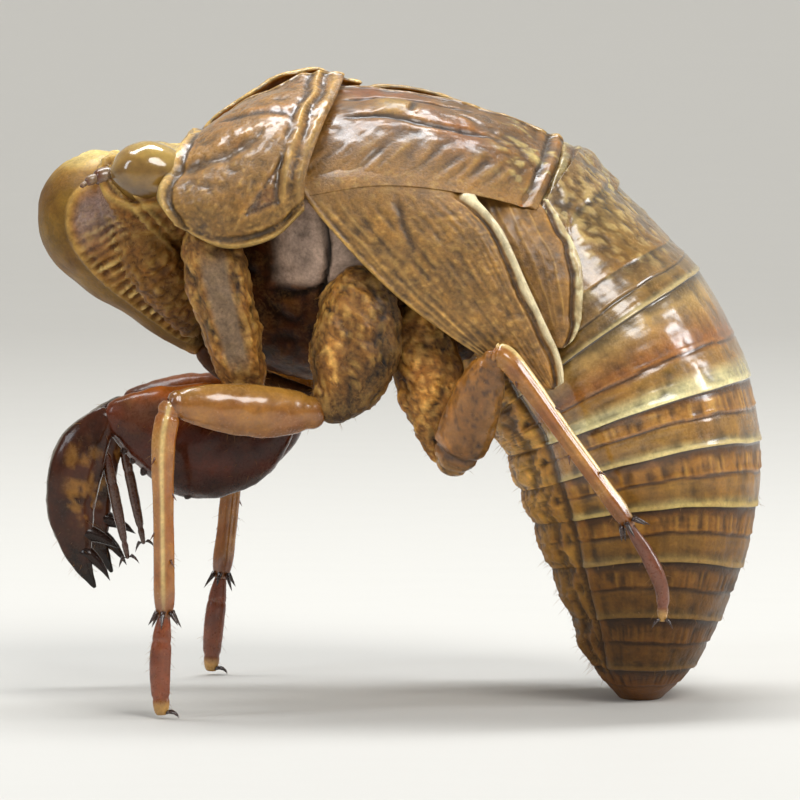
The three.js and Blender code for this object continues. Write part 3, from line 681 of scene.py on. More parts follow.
    # inner wall, joined to the outer skin round the open front
    inA = np.concatenate([[SEG[0] + 0.004], np.linspace(0.0, 0.97, 22)])
    IA, IF = np.meshgrid(inA, phi, indexing="ij")
    IP, icen = abdomen_skin(IA - 0.03 * (1 - smooth(0.7, 0.97, IA)) * np.sin(IF) ** 2, IF)
    shrink = icen - IP
    IP = IP + shrink / np.linalg.norm(shrink, axis=-1, keepdims=True) * 0.3
    ni = len(inA)
    tail = np.array([[10.05, 0, 0.0], [10.2, 0, 0.9]])
    co = np.concatenate([P.reshape(-1, 3), IP.reshape(-1, 3), tail])
    q = quads(nu, nv, wrap=True)
    first_in = nu * nv
    qi = quads(ni, nv, wrap=True)[:, ::-1] + first_in
    a = np.arange(nv)
    rim = np.stack([a, np.roll(a, -1), np.roll(a, -1) + first_in, a + first_in], 1)
    last = a + (nu - 1) * nv
    fan = np.stack([np.full(nv, len(co) - 2), last, np.roll(last, -1)], 1)
    lasti = a + first_in + (ni - 1) * nv
    fani = np.stack([np.full(nv, len(co) - 1), np.roll(lasti, -1), lasti], 1)
    e1 = co[q[1000, 1]] - co[q[1000, 0]]
    e2 = co[q[1000, 2]] - co[q[1000, 0]]
    faces = [q, qi, rim, fan[:, ::-1], fani[:, ::-1]]
    if np.dot(np.cross(e1, e2), co[q[1000, 0]] - cen.reshape(-1, 3)[q[1000, 0]]) < 0:
        faces = [f[:, ::-1] for f in faces]
    inner = np.broadcast_to(lin(112, 66, 24), (ni * nv, 3))
    col = np.concatenate([col.reshape(-1, 3), inner, lin(104, 70, 32)[None], lin(112, 66, 24)[None]])
    gloss = np.concatenate([gloss.ravel(), np.full(ni * nv, 0.45), [0.4, 0.45]])
    dust = np.concatenate([dust.ravel(), np.zeros(ni * nv), [0.4, 0]])
    own(write_mesh("abdomen", co, faces, col, gloss, dust, M_ABD), "abdomen")


build_abdomen()


# ----------------------------------------------------------------- back shields
def build_pronotum(side):
    g = np.array(PRONOTUM, float)
    if side > 0:
        g = mirror(g)
        g[:, 0] += np.array(RIGHT_LIFT)
    u, v = crowd(122, 0.4), crowd(134, 0.4)
    P = patch(g, u, v)
    U, V = np.meshgrid(u, v, indexing="ij")
    near = smooth(1.2, 0.0, gap_from(P, 1, False))
    if side > 0:
        turn = smooth(0.62, 1.0, U) ** 2 * smooth(0.22, 0.0, V)
        P[..., 2] -= 0.85 * turn
        P[..., 0] -= 0.25 * turn
    P[..., 1] += side * 0.22 * near * fbm(P[:, :1] + 0 * P, 0.9, 71, 3)
    P[..., 2] += 0.14 * near * noise(P[:, :1] + 0 * P, 0.7, 72)
    df, db = gap_from(P, 0, False), gap_from(P, 0, True)
    ds, dl = gap_from(P, 1, False), gap_from(P, 1, True)
    rise = 0.14 * fbm(P, 0.34, 41, 3) + 0.05 * fbm(P, 1.2, 42, 3)
    # swollen shoulder above, blunt lobe below, and the hollow between them
    rise += 0.26 * bell(V, 0.30, 0.17) * bell(U, 0.36, 0.26) + 0.24 * bell(V, 0.78, 0.12) * bell(U, 0.28, 0.2)
    rise -= 0.20 * bell(V - 0.55 + 0.12 * (U - 0.2), 0, 0.05) * (1 - smooth(0.4, 0.6, U))
    lowp = smooth(0.42, 0.68, V)
    ds = np.maximum(ds, 0)
    wr = crease(np.stack([P[..., 0] * 0.9 + P[..., 2] * 0.9, P[..., 1], P[..., 2] * 0.6 - P[..., 0] * 0.6], -1), 1.15, 43, 3)
    rise += 0.045 * (wr - 0.3)
    gr = crease(P, 3.6, 49, 2)
    rise += 0.045 * lowp * (gr - 0.3)
    # rolled rims: front edge, lower edge, split lip and the two ridges of the rear collar
    rim_f = bell(df, 0.22, 0.2)
    rise += 0.15 * rim_f - 0.12 * bell(df, 0.62, 0.16)
    rim_l = bell(dl, 0.14, 0.12)
    rise += 0.14 * rim_l - 0.12 * bell(dl, 0.42, 0.14) * smooth(0.25, 0.5, U)
    rise += 0.08 * bell(ds, 0.1, 0.09)
    wave = 0.12 * noise(np.stack([V * 5, 0 * V, 0 * V], -1), 1.0, 50)
    upto = smooth(0.97, 0.75, V)
    c1, c2 = bell(db, 1.02 + wave, 0.12) * upto, bell(db, 0.3, 0.16)
    rise += (0.11 * c1 + 0.07 * c2 - 0.09 * bell(db, 0.68 + wave, 0.15) * upto - 0.10 * bell(db, 1.38 + wave, 0.18) * upto) * (0.8 + 0.5 * noise(P, 1.1, 52))
    # flat three-cornered facet in front of the collar's lower end
    t1 = smooth(0.0, 0.05, V - 0.53)
    t2 = smooth(0.0, 0.07, (U - 0.42) - 1.15 * (0.86 - V))
    t3 = 1 - smooth(0.84, 0.88, V)
    t4 = smooth(1.05, 1.3, db)
    fa = t1 * t2 * t3 * t4
    rise -= 0.13 * fa
    brim = np.clip(4 * fa * (1 - fa), 0, 1)
    rise += 0.03 * brim
    # oblique furrow on the upper lobe
    fur = bell(V - 0.30 - 0.25 * (U - 0.3), 0, 0.025) * smooth(0.2, 0.35, U) * (1 - smooth(0.65, 0.75, U))
    rise -= 0.10 * fur
    base, light, deep = lin(154, 112, 58), lin(206, 172, 110), lin(66, 38, 18)
    mott = np.clip(0.5 + 0.9 * fbm(P, 0.7, 44, 4), 0, 1)
    col = mixc(np.broadcast_to(base, P.shape), lin(122, 84, 46), mott * 0.8)
    col = mixc(col, lin(162, 108, 46), np.clip(0.9 * fbm(P, 0.9, 45, 3) + 0.1, 0, 1))
    tanlow = lowp * (1 - fa) * np.clip(0.6 + 0.6 * fbm(P, 1.4, 51, 3), 0, 1)
    col = mixc(col, lin(160, 118, 60), 0.7 * tanlow)
    col = mixc(col, lin(146, 92, 38), 0.8 * fa)
    col = mixc(col, light, 0.85 * np.clip(bell(df, 0.15, 0.28) + 0.9 * bell(dl, 0.1, 0.12) + 0.15 * brim + 0.5 * c1 + 0.4 * c2 + bell(ds, 0.05, 0.12), 0, 1))
    col = mixc(col, deep, 0.75 * np.clip(0.55 * bell(db, 0.68 + wave, 0.1) * upto + 0.8 * bell(dl, 0.4, 0.1) * smooth(0.25, 0.5, U) + 0.5 * fur + 0.35 * bell(db, 1.38 + wave, 0.12) * upto + 0.5 * bell(df, 0.62, 0.12), 0, 1))
    # painted shade: the lower lobe is darkened by up to 30%
    col = col * (1 - 0.3 * lowp)[..., None]
    speck = smooth(0.35, 0.6, gr)
    col = mixc(col, lin(186, 152, 96), 0.25 * speck * lowp)
    # painted shade in the hollows of the shield's raised detail and painted light on its crests
    col = paint_relief_shade(col, rise, 4, 0.03, 0.5, 0.28)
    gloss = 0.23 + 0.22 * lowp * (1 - fa) + 0.1 * fbm(P, 1.0, 47, 3) + 0.08 * rim_f
    dust = np.clip(0.1 + 0.75 * lowp * (1 - 0.7 * fa) + 0.3 * fbm(P, 0.5, 48, 2), 0, 1)
    thick = 0.2 + 0.1 * bell(df, 0.1, 0.3) + 0.1 * bell(dl, 0.1, 0.2)
    name = "pronotum_left" if side < 0 else "pronotum_right"
    own(plate(name, P, rise, thick, col, lin(168, 100, 26), gloss, dust, M_SHIELD), name)


def pad_skin(P):
    """Colour, gloss and dust of the wing pads' skin at points P; the middle shield takes it on towards the pads."""
    col = mixc(np.broadcast_to(lin(142, 102, 50), P.shape), lin(112, 80, 42), np.clip(0.5 + 0.9 * fbm(P, 0.8, 63, 4), 0, 1))
    col = mixc(col, lin(150, 104, 46), np.clip(0.8 * fbm(P, 0.5, 70, 3), 0, 0.8))
    col = mixc(col, lin(186, 150, 92), 0.3 * smooth(0.38, 0.62, crease(P, 3.2, 68, 2)))
    return 1.12 * col, 0.42 + 0.08 * fbm(P, 1.2, 66, 3), np.clip(0.5 + 0.4 * fbm(P, 0.6, 67, 2), 0, 1)


def build_mesonotum(side):
    g = np.array(MESONOTUM, float)
    if side > 0:
        g = mirror(g)
    u, v = crowd(132, 0.2), crowd(102, 0.35)
    P = patch(g, u, v)
    U, V = np.meshgrid(u, v, indexing="ij")
    near = smooth(1.2, 0.0, gap_from(P, 1, False))
    P[..., 1] += side * 0.22 * near * fbm(P[:, :1] + 0 * P, 0.8, 73, 3)
    P[..., 2] += 0.12 * near * noise(P[:, :1] + 0 * P, 0.6, 74)
    ds, dl, db = gap_from(P, 1, False), gap_from(P, 1, True), gap_from(P, 0, True)
    X = P[..., 0]
    rise = 0.10 * fbm(P, 0.45, 51, 3) + 0.04 * fbm(P, 1.3, 52, 3)
    # low bosses and furrows that run back from the collar, crumpled towards the rear
    boss = bell(X, -0.3, 0.9) * bell(V, 0.36, 0.10)
    rise += 0.18 * boss
    f1 = bell(V, 0.50 + 0.02 * np.sin(X), 0.022) * smooth(-2.6, -1.6, X) * (1 - smooth(2.5, 4.5, X))
    f2 = bell(V, 0.24 - 0.012 * X, 0.018) * smooth(-2.6, -1.8, X) * (1 - smooth(1.5, 3.5, X))
    f3 = bell(X + 1.6 * (V - 0.3), 0.6, 0.13) * bell(V, 0.36, 0.07)
    rise -= 0.14 * f1 + 0.10 * f2 + 0.12 * f3
    cr = crease(np.stack([P[..., 0] * 0.7, P[..., 1] * 1.3, P[..., 2] * 1.3], -1), 1.1, 53, 3)
    rise += 0.06 * (cr - 0.3) * (0.5 + 0.9 * smooth(0.0, 4.0, X))
    low = smooth(0.6, 0.86, V)
    rise = rise * (1 - 0.95 * smooth(0.6, 0.84, V))
    streak = noise(np.stack([(X * 0.75 + P[..., 2] * 0.66) * 0.5, 0 * X, (P[..., 2] * 0.75 - X * 0.66) * 3.2], -1), 1.0, 58)
    rise += 0.06 * low * streak * (1 - 0.9 * smooth(0.84, 0.97, V))
    rise += 0.07 * bell(ds, 0.1, 0.09)
    rise += 0.10 * bell(db, 0.3, 0.15) - 0.12 * bell(db, 0.7, 0.15)
    base, red, light, deep = lin(154, 108, 50), lin(150, 82, 30), lin(196, 160, 98), lin(62, 36, 16)
    col = mixc(np.broadcast_to(base, P.shape), lin(112, 78, 44), np.clip(0.5 + 0.9 * fbm(P, 0.9, 55, 4), 0, 1))
    col = mixc(col, red, np.clip(1.2 * bell(X, -0.6, 1.3) * bell(V, 0.12, 0.1) + 0.6 * bell(X, 2.4, 1.4) * bell(V, 0.5, 0.12) + 0.55 * fbm(P, 0.6, 54, 3), 0, 0.85))
    col = mixc(col, light, 0.8 * np.clip(bell(ds, 0.04, 0.12) + 0.9 * boss * (1 - f3), 0, 1))
    col = mixc(col, deep, 0.75 * np.clip(f1 + f2 + 1.2 * f3 + 0.5 * bell(db, 0.7, 0.12), 0, 1))
    col = mixc(col, lin(142, 102, 50), low * 0.85)
    col = mixc(col, lin(178, 142, 84), np.clip(low * smooth(0.2, 0.6, streak), 0, 1) * 0.6)
    col = mixc(col, deep, np.clip(low * smooth(0.25, 0.6, -streak), 0, 1) * 0.35)
    col = mixc(col, lin(210, 192, 148), np.clip(smooth(3.2, 5.4, X) * smooth(0.4, 0.6, cr), 0, 1) * 0.7)
    # painted shade in the hollows of the shield's raised detail and painted light on its crests
    col = paint_relief_shade(col, rise, 4, 0.03, 0.5, 0.3) * [0.70, 0.68, 0.56]
    gloss = 0.33 + 0.17 * fbm(P, 0.9, 56, 3) + 0.06 * low
    dust = np.clip(0.15 + 0.35 * fbm(P, 0.5, 57, 2) + 0.3 * low, 0, 1)
    sk, sg, sd = pad_skin(P)
    like = smooth(0.76, 0.98, V)
    col, gloss, dust = mixc(col, sk, like), gloss * (1 - like) + sg * like, dust * (1 - like) + sd * like
    thick = 0.035 + 0.165 * smooth(0.0, 1.0, dl)
    name = "mesonotum_left" if side < 0 else "mesonotum_right"
    own(plate(name, P, rise, thick, col, lin(160, 94, 26), gloss, dust, M_SHIELD), name)


def round_tip(P, mid, start, much):
    U = np.linspace(0, 1, P.shape[0])[:, None]
    pull = 1 - np.sqrt(np.clip(1 - np.clip((U - start) / (1 - start), 0, 1) ** 2.2, 0, 1))
    return P + (P[:, mid : mid + 1] - P) * (pull * much)[..., None]


def build_forewing(side):
    g = np.array(FOREWING, float)
    # its root lies inside the middle shield's wall and leaves it along that plate's lower edge
    E = patch(np.array(MESONOTUM, float), np.array([0.03, 0.27, 0.5, 0.7]), np.array([0.82, 1.0]))
    g[0] = E[:, 0] + 0.13 * np.array([0, 0.75, -0.66])
    g[1] = E[:, 1] + 0.03 * np.array([0, 0.75, -0.66])
    if side > 0:
        g = mirror(g)
    u, v = np.linspace(0, 1, 158), crowd(102, 0.5)
    P = round_tip(patch(g, u, v), 51, 0.895, 0.55)
    U, V = np.meshgrid(np.clip((u - 0.22) / 0.78, 0, 1), v, indexing="ij")
    dr, df, db = gap_from(P, 1, True), gap_from(P, 1, False), gap_from(P, 0, False)
    rise = 0.09 * fbm(P, 0.5, 61, 3) + 0.03 * fbm(P, 1.6, 62, 3)
    gr = crease(P, 3.2, 68, 2)
    rise += 0.03 * (gr - 0.3)
    vein = 0.0
    for c, a in ((0.05, 1.0), (0.115, 0.8), (0.19, 0.6), (0.29, 0.35), (0.42, 0.3), (0.56, 0.25), (0.7, 0.2)):
        vein = vein + a * bell(V, c + 0.03 * np.sin(3 * U + c * 9) + 0.02 * noise(P, 0.5, 69 + int(c * 100)), 0.011) * np.clip(0.7 + 0.6 * noise(P, 0.7, 75 + int(c * 100)), 0, 1)
    vein = vein * (1 - smooth(0.8, 0.97, U))
    cr2 = bell(V, 0.46 - 0.7 * (U - 0.1), 0.02) * smooth(0.02, 0.1, U) * (1 - smooth(0.3, 0.42, U))
    scr = noise(np.stack([V * 34 + 3 * U, U * 5, 0 * U], -1), 1.0, 79)
    rise += 0.05 * vein - 0.08 * cr2 + 0.022 * scr
    away = smooth(1.3, 3.2, db)
    rise = rise * away
    w = (0.42 - 0.13 * U + 0.3 * bell(U, 0.1, 0.11)) * (1 + 0.2 * noise(np.stack([U * 11, 0 * U, 0 * U], -1), 1.0, 65))
    hump = np.sqrt(np.clip(1 - ((dr - w / 2) / (w / 2)) ** 2, 0, 1))
    rim = smooth(1.12, 0.92, dr / w)
    rise += 0.16 * hump * smooth(0.0, 0.08, U) - 0.12 * bell(dr, w + 0.16, 0.13)
    rise += 0.05 * bell(df, 0.1, 0.1)
    light, deep, cream = lin(186, 150, 92), lin(84, 52, 24), lin(240, 222, 178)
    root, gloss, dust = pad_skin(P)
    col = mixc(root / 1.12, lin(150, 104, 46), 0.4 * smooth(0.75, 0.95, U))
    col = mixc(col, light, np.clip(0.5 * vein + 0.7 * bell(df, 0.05, 0.1), 0, 0.8))
    col = col * (1 + 0.16 * scr)[..., None]
    col = mixc(col, deep, np.clip(0.65 * bell(dr, w + 0.14, 0.1) + 0.5 * cr2, 0, 0.8))
    # painted shade in the hollows of the pad's raised detail and painted light on its crests
    col = paint_relief_shade(col, rise * (1 - rim), 4, 0.03, 0.5, 0.3)
    col = mixc(mixc(root, col * 1.12, away), cream * [1.04, 1.1, 1.5], 0.95 * rim * smooth(0.0, 0.06, U) * (0.85 + 0.15 * noise(P, 2.0, 64)))
    gloss = gloss - 0.16 * rim
    dust = dust * (1 - 0.95 * rim)
    thick = (0.2 - 0.04 * rim) * (0.25 + 0.75 * smooth(1.0, 2.4, db))
    name = "forewing_pad_left" if side < 0 else "forewing_pad_right"
    own(plate(name, P, rise, thick, col, lin(112, 70, 28), gloss, dust, M_PAD), name)


def build_hindwing(side):
    g = np.array(HINDWING, float)
    if side > 0:
        g = mirror(g)
    u, v = np.linspace(0, 1, 100), crowd(70, 0.5)
    P = round_tip(patch(g, u, v), 35, 0.85, 0.6)
    U, V = np.meshgrid(u, v, indexing="ij")
    dr = gap_from(P, 1, True)
    rise = 0.08 * fbm(P, 0.6, 71, 3) + 0.03 * fbm(P, 1.8, 72, 3)
    vein = sum(a * bell(V, c + 0.07 * (U - 0.5) + 0.03 * noise(P, 0.6, 78 + int(c * 100)), 0.014) for c, a in ((0.2, 1.0), (0.29, 0.6), (0.41, 0.8), (0.5, 0.4), (0.63, 0.9))) * smooth(0.05, 0.15, U) * (1 - smooth(0.75, 0.95, U))
    w = 0.29 + 0.10 * noise(np.stack([U * 9, 0 * U, 0 * U], -1), 1.0, 75)
    hump = np.sqrt(np.clip(1 - ((dr - w / 2) / (w / 2)) ** 2, 0, 1))
    rim = smooth(1.12, 0.9, dr / w)
    cr = crease(P, 1.6, 73, 3)
    rise += 0.025 * vein + 0.10 * hump + 0.06 * rim * (cr - 0.35) - 0.12 * bell(dr, w + 0.16, 0.12)
    base, light, cream = lin(150, 108, 54), lin(194, 156, 94), lin(240, 230, 206)
    col = mixc(np.broadcast_to(base, P.shape), lin(120, 84, 42), np.clip(0.5 + 0.9 * fbm(P, 0.8, 74, 4), 0, 1))
    col = mixc(col, light, np.clip(0.35 * vein, 0, 0.5))
    # painted shade in the hollows of the pad's raised detail and painted light on its crests
    col = paint_relief_shade(col, rise, 4, 0.03, 0.5, 0.3)
    col = mixc(col, lin(60, 34, 16), 0.6 * bell(dr, w + 0.14, 0.1))
    col = mixc(col, cream, 0.9 * rim * (0.45 + 0.55 * smooth(0.2, 0.5, cr)))
    gloss = 0.4 + 0.08 * fbm(P, 1.2, 76, 3) - 0.16 * rim
    dust = np.clip(0.4 + 0.4 * fbm(P, 0.6, 77, 2), 0, 1) * (1 - 0.95 * rim)
    name = "hindwing_pad_left" if side < 0 else "hindwing_pad_right"
    own(plate(name, P, rise, 0.18 - 0.02 * rim, col, lin(112, 70, 28), gloss, dust, M_PAD), name)


def full_width(grid):
    g = np.array(grid, float)
    m = g[:, 1:].copy()
    m[..., 1] *= -1
    return np.concatenate([g[:, ::-1], m], 1)


def build_metanotum():
    g = full_width(METANOTUM)
    u, v = crowd(64, 0.3), np.linspace(0, 1, 172)
    P = patch(g, u, v)
    U, V = np.meshgrid(u, v, indexing="ij")
    rise = 0.07 * fbm(P, 0.9, 81, 3)
    crink = crease(np.stack([P[..., 0] * 1.2, P[..., 1] * 0.7, P[..., 2] * 0.8], -1), 1.0, 82, 3)
    rise += 0.09 * (crink - 0.33)
    rise += 0.10 * bell(U, 0.16, 0.07) - 0.10 * bell(U, 0.36, 0.06) + 0.07 * bell(U, 0.62, 0.08) - 0.05 * bell(U, 0.8, 0.05)
    pit = np.zeros_like(U)
    for y in (-1, 1):
        pit += np.exp(-(((V - (0.5 + y * 0.315)) / 0.014) ** 2 + ((U - 0.62) / 0.12) ** 2))
        pit += np.exp(-(((V - (0.5 + y * 0.13)) / 0.03) ** 2 + ((U - 0.62) / 0.07) ** 2))
    rise -= 0.12 * pit
    col = mixc(np.broadcast_to(lin(142, 102, 52), P.shape), lin(226, 210, 164), np.clip(0.7 * smooth(0.12, 0.6, crink) + 0.4 * bell(U, 0.16, 0.08), 0, 0.75))
    col = mixc(col, lin(116, 72, 32), np.clip(0.9 * fbm(P, 1.0, 83, 3) + 0.5 * bell(U, 0.34, 0.07), 0, 0.8))
    col = mixc(col, lin(56, 22, 9), np.clip(1.3 * pit, 0, 0.95))
    # painted shade in the hollows of the crinkled skin and painted light on its crests
    col = paint_relief_shade(col, rise, 3, 0.05, 0.6, 0.25) * 0.76
    gloss = 0.24 + 0.1 * fbm(P, 1.4, 84, 3)
    dust = np.clip(0.1 + 0.3 * fbm(P, 0.7, 85, 2), 0, 1)
    own(plate("metanotum", P, rise, 0.2, col, lin(150, 92, 32), gloss, dust, M_SHIELD), "metanotum")


def build_trough():
    g = full_width(np.array(TROUGH)[:, ::-1])
    u, v = crowd(104, 0.2), np.linspace(0, 1, 150)
    P = patch(g, u, v)
    U, V = np.meshgrid(u, v, indexing="ij")
    X, Z = P[..., 0], P[..., 2]
    side = np.abs(V - 0.5) * 2
    rise = 0.10 * fbm(P, 0.5, 91, 3) + 0.04 * fbm(P, 1.5, 92, 3)
    # two smooth flank plates with a curved seam between them, creased skin below
    seam = X + 0.10 * (Z - 19.0) ** 2
    s1 = bell(seam, -2.9, 0.09) * smooth(16.6, 17.2, Z)
    s2 = bell(Z, 17.3 + 0.25 * np.sin(X * 1.7), 0.12) * smooth(-5.4, -4.8, X) * (1 - smooth(-1.2, -0.6, X))
    s3 = bell(X + 0.2 * Z, 4.4, 0.1) + bell(X, 2.6, 0.12)
    rise -= 0.26 * s1 + 0.16 * s2 + 0.16 * s3 * smooth(0.3, 0.5, side)
    smoothed = smooth(17.1, 17.8, Z) * smooth(-5.6, -4.9, X) * (1 - smooth(-1.4, -0.7, X))
    rise += 0.16 * smoothed * np.clip(1 - ((X + 3.0) / 2.2) ** 2, 0, 1) * (1 - s1)
    cr = crease(P, 1.0, 96, 3)
    rise += 0.16 * (cr - 0.33) * (1 - smoothed)
    # the creased skin's dark reddish-brown base is partly its own colour, partly painted shade of the cavity between
    # the legs
    base, grey, amber, deep = lin(84, 46, 20), lin(170, 148, 150), lin(108, 60, 22), lin(38, 20, 10)
    col = mixc(np.broadcast_to(base, P.shape), amber, np.clip(0.5 + 0.8 * fbm(P, 0.5, 93, 3), 0, 1))
    col = mixc(col, lin(140, 100, 50), smooth(0.35, 0.6, cr) * 0.5)
    col = mixc(col, grey, 0.9 * smoothed)
    col = mixc(col, deep, np.clip(0.9 * s1 + 0.7 * s2 + 0.5 * s3, 0, 0.95))
    # painted shade: outside the flank plates the skin is darkened to 30% and warmed, as in a shaded cavity; its hollows
    # also get painted shade and its crests painted light
    col = paint_relief_shade(col, rise, 4, 0.04, 0.5, 0.25) * ((0.3 + 0.65 * smoothed)[..., None] * np.where(smoothed[..., None] > 0.5, 1.0, [1.15, 0.85, 0.6]))
    gloss = 0.36 + 0.1 * fbm(P, 1.0, 94, 3) - 0.06 * smoothed
    dust = np.clip(0.25 + 0.4 * fbm(P, 0.6, 95, 2) - 0.6 * smoothed, 0, 1)
    own(plate("thorax_underside", P, rise, 0.2, col, lin(120, 62, 18), gloss, dust, M_UNDER), "thorax_underside")


for side in (-1, 1):
    build_pronotum(side)
    build_mesonotum(side)
    build_forewing(side)
    build_hindwing(side)
build_metanotum()
build_trough()


# ------------------------------------------------------------------------- head
FACE_P = [[-11.9, 0, 22.7], [-12.5, 0, 20.5], [-11.5, 0, 18.6], [-10.3, 0, 17.0], [-9.0, 0, 15.4], [-8.3, 0, 14.4]]
FACE_R = [1.6, 2.85, 2.35, 1.55, 1.0, 0.5]
FACE_Y = [1.9, 3.25, 2.9, 1.9, 1.0, 0.5]
EYES = {-1: np.array([-10.35, -3.95, 22.05]), 1: np.array([-10.35, 3.95, 21.75])}
EYE_R = np.array([1.6, 1.25, 1.32])


def ellipsoid(c, r, around=48, along=32):
    t = np.linspace(0, np.pi, along + 1)[1:-1]
    a = np.linspace(0, 2 * np.pi, around, endpoint=False)
    T, A = np.meshgrid(t, a, indexing="ij")
    P = np.stack([c[0] + r[0] * np.cos(T), c[1] + r[1] * np.sin(T) * np.cos(A), c[2] + r[2] * np.sin(T) * np.sin(A)], -1)
    n = len(t)
    co = np.concatenate([P.reshape(-1, 3), [[c[0] + r[0], c[1], c[2]], [c[0] - r[0], c[1], c[2]]]])
    q = quads(n, around, wrap=True)
    f = np.arange(around)
    l = f + (n - 1) * around
    fan0 = np.stack([np.full(around, n * around), f, np.roll(f, -1)], 1)
    fan1 = np.stack([np.full(around, n * around + 1), np.roll(l, -1), l], 1)
    return co, [q[:, ::-1], fan0, fan1]


def remeshed(parts, voxel, passes):
    """Joins closed forms into one even skin and softens it."""
    co, faces, n = [], {3: [], 4: []}, 0
    for c, fs in parts:
        co.append(c)
        for f in fs:
            faces[f.shape[1]].append(f + n)
        n += len(c)
    ob = write_mesh("joined", np.concatenate(co), [np.concatenate(f) for f in faces.values() if f])
    m = ob.modifiers.new("skin", "REMESH")
    m.mode = "VOXEL"
    m.voxel_size = voxel * MM
    m = ob.modifiers.new("soften", "SMOOTH")
    m.factor = 0.5
    m.iterations = passes
    dg = bpy.context.evaluated_depsgraph_get()
    me = bpy.data.meshes.new_from_object(ob.evaluated_get(dg))
    bpy.data.objects.remove(ob)
    return me


def points_normals(me):
    n = len(me.vertices)
    co = np.empty(n * 3, np.float32)
    no = np.empty(n * 3, np.float32)
    me.vertices.foreach_get("co", co)
    me.vertices.foreach_get("normal", no)
    return co.reshape(-1, 3).astype(float) / MM - SHIFT, no.reshape(-1, 3).astype(float)


def along_line(p, rows, steps=200):
    """Nearest place on a line for each point: fraction, distance along it, and distance from it."""
    L = curve(rows, np.linspace(0, 1, steps))
    run = np.concatenate([[0], np.cumsum(np.linalg.norm(np.diff(L, axis=0), axis=1))])
    best = np.full(len(p), 1e9)
    where = np.zeros(len(p), int)
    for i in range(steps):
        d = ((p - L[i]) ** 2).sum(1)
        m = d < best
        best[m] = d[m]
        where[m] = i
    return where / (steps - 1), run[where], np.sqrt(best)


